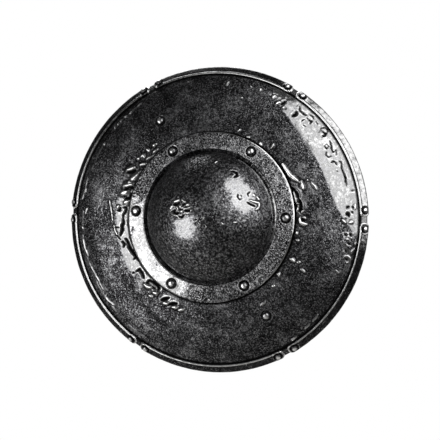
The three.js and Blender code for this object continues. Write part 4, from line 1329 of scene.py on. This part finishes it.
def make_scale(name, side, node):
    """One wooden scale of the grip: crowned, flat on the bar, its faces shaved a little uneven."""
    x = -SCALE_LENGTH / 2 * np.cos(np.linspace(0.02, math.pi - 0.02, 90))[:, None]
    across = np.linspace(-1, 1, 37)
    # The crown is fuller than a circle and stands on a 1 mm wall, and the last 8 mm draw in a little
    wall = 1.0
    top = wall + (scale_height(x) - wall) * (1 - np.abs(across) ** 2.3) ** 0.62
    z = BAR_WIDTH / 2 * across * (1 - 0.05 * np.clip((np.abs(x) - 44) / 8, 0, 1) ** 2)
    low = BAR_THICKNESS / 2 + SEAT_GAP
    x = np.broadcast_to(x, top.shape)
    points, faces = slab(
        np.stack([x, side * (low + top), z], -1), np.stack([x, np.full(z.shape, side * low), z], -1)
    )
    shaved = np.minimum(uneven(points * [0.35, 1, 1], [(14, 0.35), (5, 0.12)], 101), 0)
    shaved[np.abs(points[:, 1]) <= low + 0.6] = 0
    points = points + np.array([0, side, 0]) * shaved[:, None]
    finish_piece(mesh_object(name, to_grip_place(points), faces, {}), grip_wood, [node])


make_plate()
make_ring()
make_boss()
for i in range(6):
    make_strip(i)
make_bar()
make_scale("Back-scale", 1, "grip_scale_back")
make_scale("Front-scale", -1, "grip_scale_front")
make_rivets()


# Setting
def aim(thing, target):
    way = Vector(target) - thing.location
    thing.rotation_mode = "QUATERNION"
    thing.rotation_quaternion = way.to_track_quat("-Z", "Y")


def seen_from(azimuth, polar_angle, distance):
    """A place by its azimuth from the right upwards and its angle from the axis, both in degrees."""
    a, p = math.radians(azimuth), math.radians(polar_angle)
    return distance * Vector((math.sin(p) * math.cos(a), -math.cos(p), math.sin(p) * math.sin(a)))


def softbox(name, place, width, height, power, spread=160, target=(0, 0, 0)):
    """A soft lamp of a width and a height in metres, a power in watts and a spread in degrees."""
    lamp = bpy.data.lights.new(name, "AREA")
    lamp.shape = "RECTANGLE"
    lamp.size, lamp.size_y = width, height
    lamp.energy = power
    lamp.spread = math.radians(spread)
    thing = place_object(name, lamp)
    thing.location = place
    aim(thing, target)
    thing.visible_camera = False


# The two softboxes make the bright crescent and the dome's highlights, the fills soften their edges,
# and the last two light the back and the ground for other views
softbox("Right-softbox", seen_from(32, 61, 1.1), 1.42, 1.42, 11.0)
softbox("Left-softbox", seen_from(198, 41, 1.1), 0.72, 0.92, 3.6)
softbox("Left-fill", seen_from(205, 52, 1.1), 2.2, 2.2, 2.2)
softbox("Right-fill", seen_from(32, 32, 1.1), 0.9, 0.9, 0.6)
softbox("Back-softbox", seen_from(110, 125, 2.0), 1.2, 1.2, 24)
softbox("Floor-lamp", (-2.0, 2.5, 0.4), 1.8, 1.8, 45, spread=90, target=(-2.0, 2.5, -1))

# A dim room, so that the black steel shows the lamps and little else
world = bpy.data.worlds.new("Dim studio")
bpy.context.scene.world = world
world.use_nodes = True
world.node_tree.nodes.clear()
air = add(world.node_tree, "ShaderNodeBackground", Color=linear("#ffffff"), Strength=0.12)
add(world.node_tree, "ShaderNodeOutputWorld", Surface=air)

# The camera, worked out from the ellipses of the rim and the ring in the photograph: its size, the
# pixel where the shield's middle is, how many pixels a millimetre takes there, and the viewing angle
PHOTO_WIDTH = 440
MIDDLE_PIXEL = (217.7, 218.74)
PIXELS_PER_MM = 0.9255
VIEW_TURN, VIEW_PITCH = math.radians(13.8), math.radians(-3.16)
VIEW_DISTANCE = 17 * SHIELD_RADIUS
SENSOR_WIDTH = 36

camera = place_object("Camera", bpy.data.cameras.new("Camera"))
bpy.context.scene.camera = camera
middle = Vector((0, FOLD_CENTRE[1] * MM, 0))
camera.location = middle + VIEW_DISTANCE * MM * Vector((
    math.sin(VIEW_TURN) * math.cos(VIEW_PITCH), -math.cos(VIEW_TURN) * math.cos(VIEW_PITCH),
    math.sin(VIEW_PITCH),
))
aim(camera, middle)
camera.data.sensor_width = SENSOR_WIDTH
camera.data.lens = PIXELS_PER_MM * VIEW_DISTANCE * SENSOR_WIDTH / PHOTO_WIDTH
camera.data.shift_x = (PHOTO_WIDTH / 2 - MIDDLE_PIXEL[0]) / PHOTO_WIDTH
camera.data.shift_y = (MIDDLE_PIXEL[1] - PHOTO_WIDTH / 2) / PHOTO_WIDTH
bpy.context.scene.view_settings.view_transform = "Standard"


def card(name, corners, paper):
    mesh = bpy.data.meshes.new(name)
    mesh.from_pydata(corners, [], [(0, 1, 2, 3)])
    mesh.materials.append(paper)
    place_object(name, mesh)


def studio_paper(name, code, shown_white):
    """Matt background paper; the backdrop shows white to the camera and in gloss and glass."""
    material, tree = new_material(name)
    paper = add(tree, "ShaderNodeBsdfDiffuse", Color=linear(code))
    if shown_white:
        path = add(tree, "ShaderNodeLightPath").outputs
        seen = path["Is Camera Ray"]
        for ray in ("Is Glossy Ray", "Is Transmission Ray"):
            seen = add(tree, "ShaderNodeMath", {"operation": "MAXIMUM"}, _0=seen, _1=path[ray])
        white = add(tree, "ShaderNodeEmission", Color=linear("#ffffff"), Strength=1.0)
        paper = add(tree, "ShaderNodeMixShader", _0=seen, _1=paper, _2=white)
    add(tree, "ShaderNodeOutputMaterial", Surface=paper)
    return material


# A floor well below the shield and an upright backdrop behind it, in metres
FLOOR_Z, FLOOR_HALF_WIDTH = -1.25, 9.0
BACKDROP_Y, BACKDROP_HALF_WIDTH, BACKDROP_TOP = 3.6, 5.2, 4.2
around = ((-1, -1), (1, -1), (1, 1), (-1, 1))
floor_corners = [(FLOOR_HALF_WIDTH * x, FLOOR_HALF_WIDTH * y, FLOOR_Z) for x, y in around]
card("Floor", floor_corners, studio_paper("pale floor paper", "#e2e1de", False))
heights = (FLOOR_Z, FLOOR_Z, BACKDROP_TOP, BACKDROP_TOP)
backdrop_corners = [(BACKDROP_HALF_WIDTH * x, BACKDROP_Y, z) for (x, _), z in zip(around, heights)]
card("Backdrop", backdrop_corners, studio_paper("white backdrop paper", "#ffffff", True))
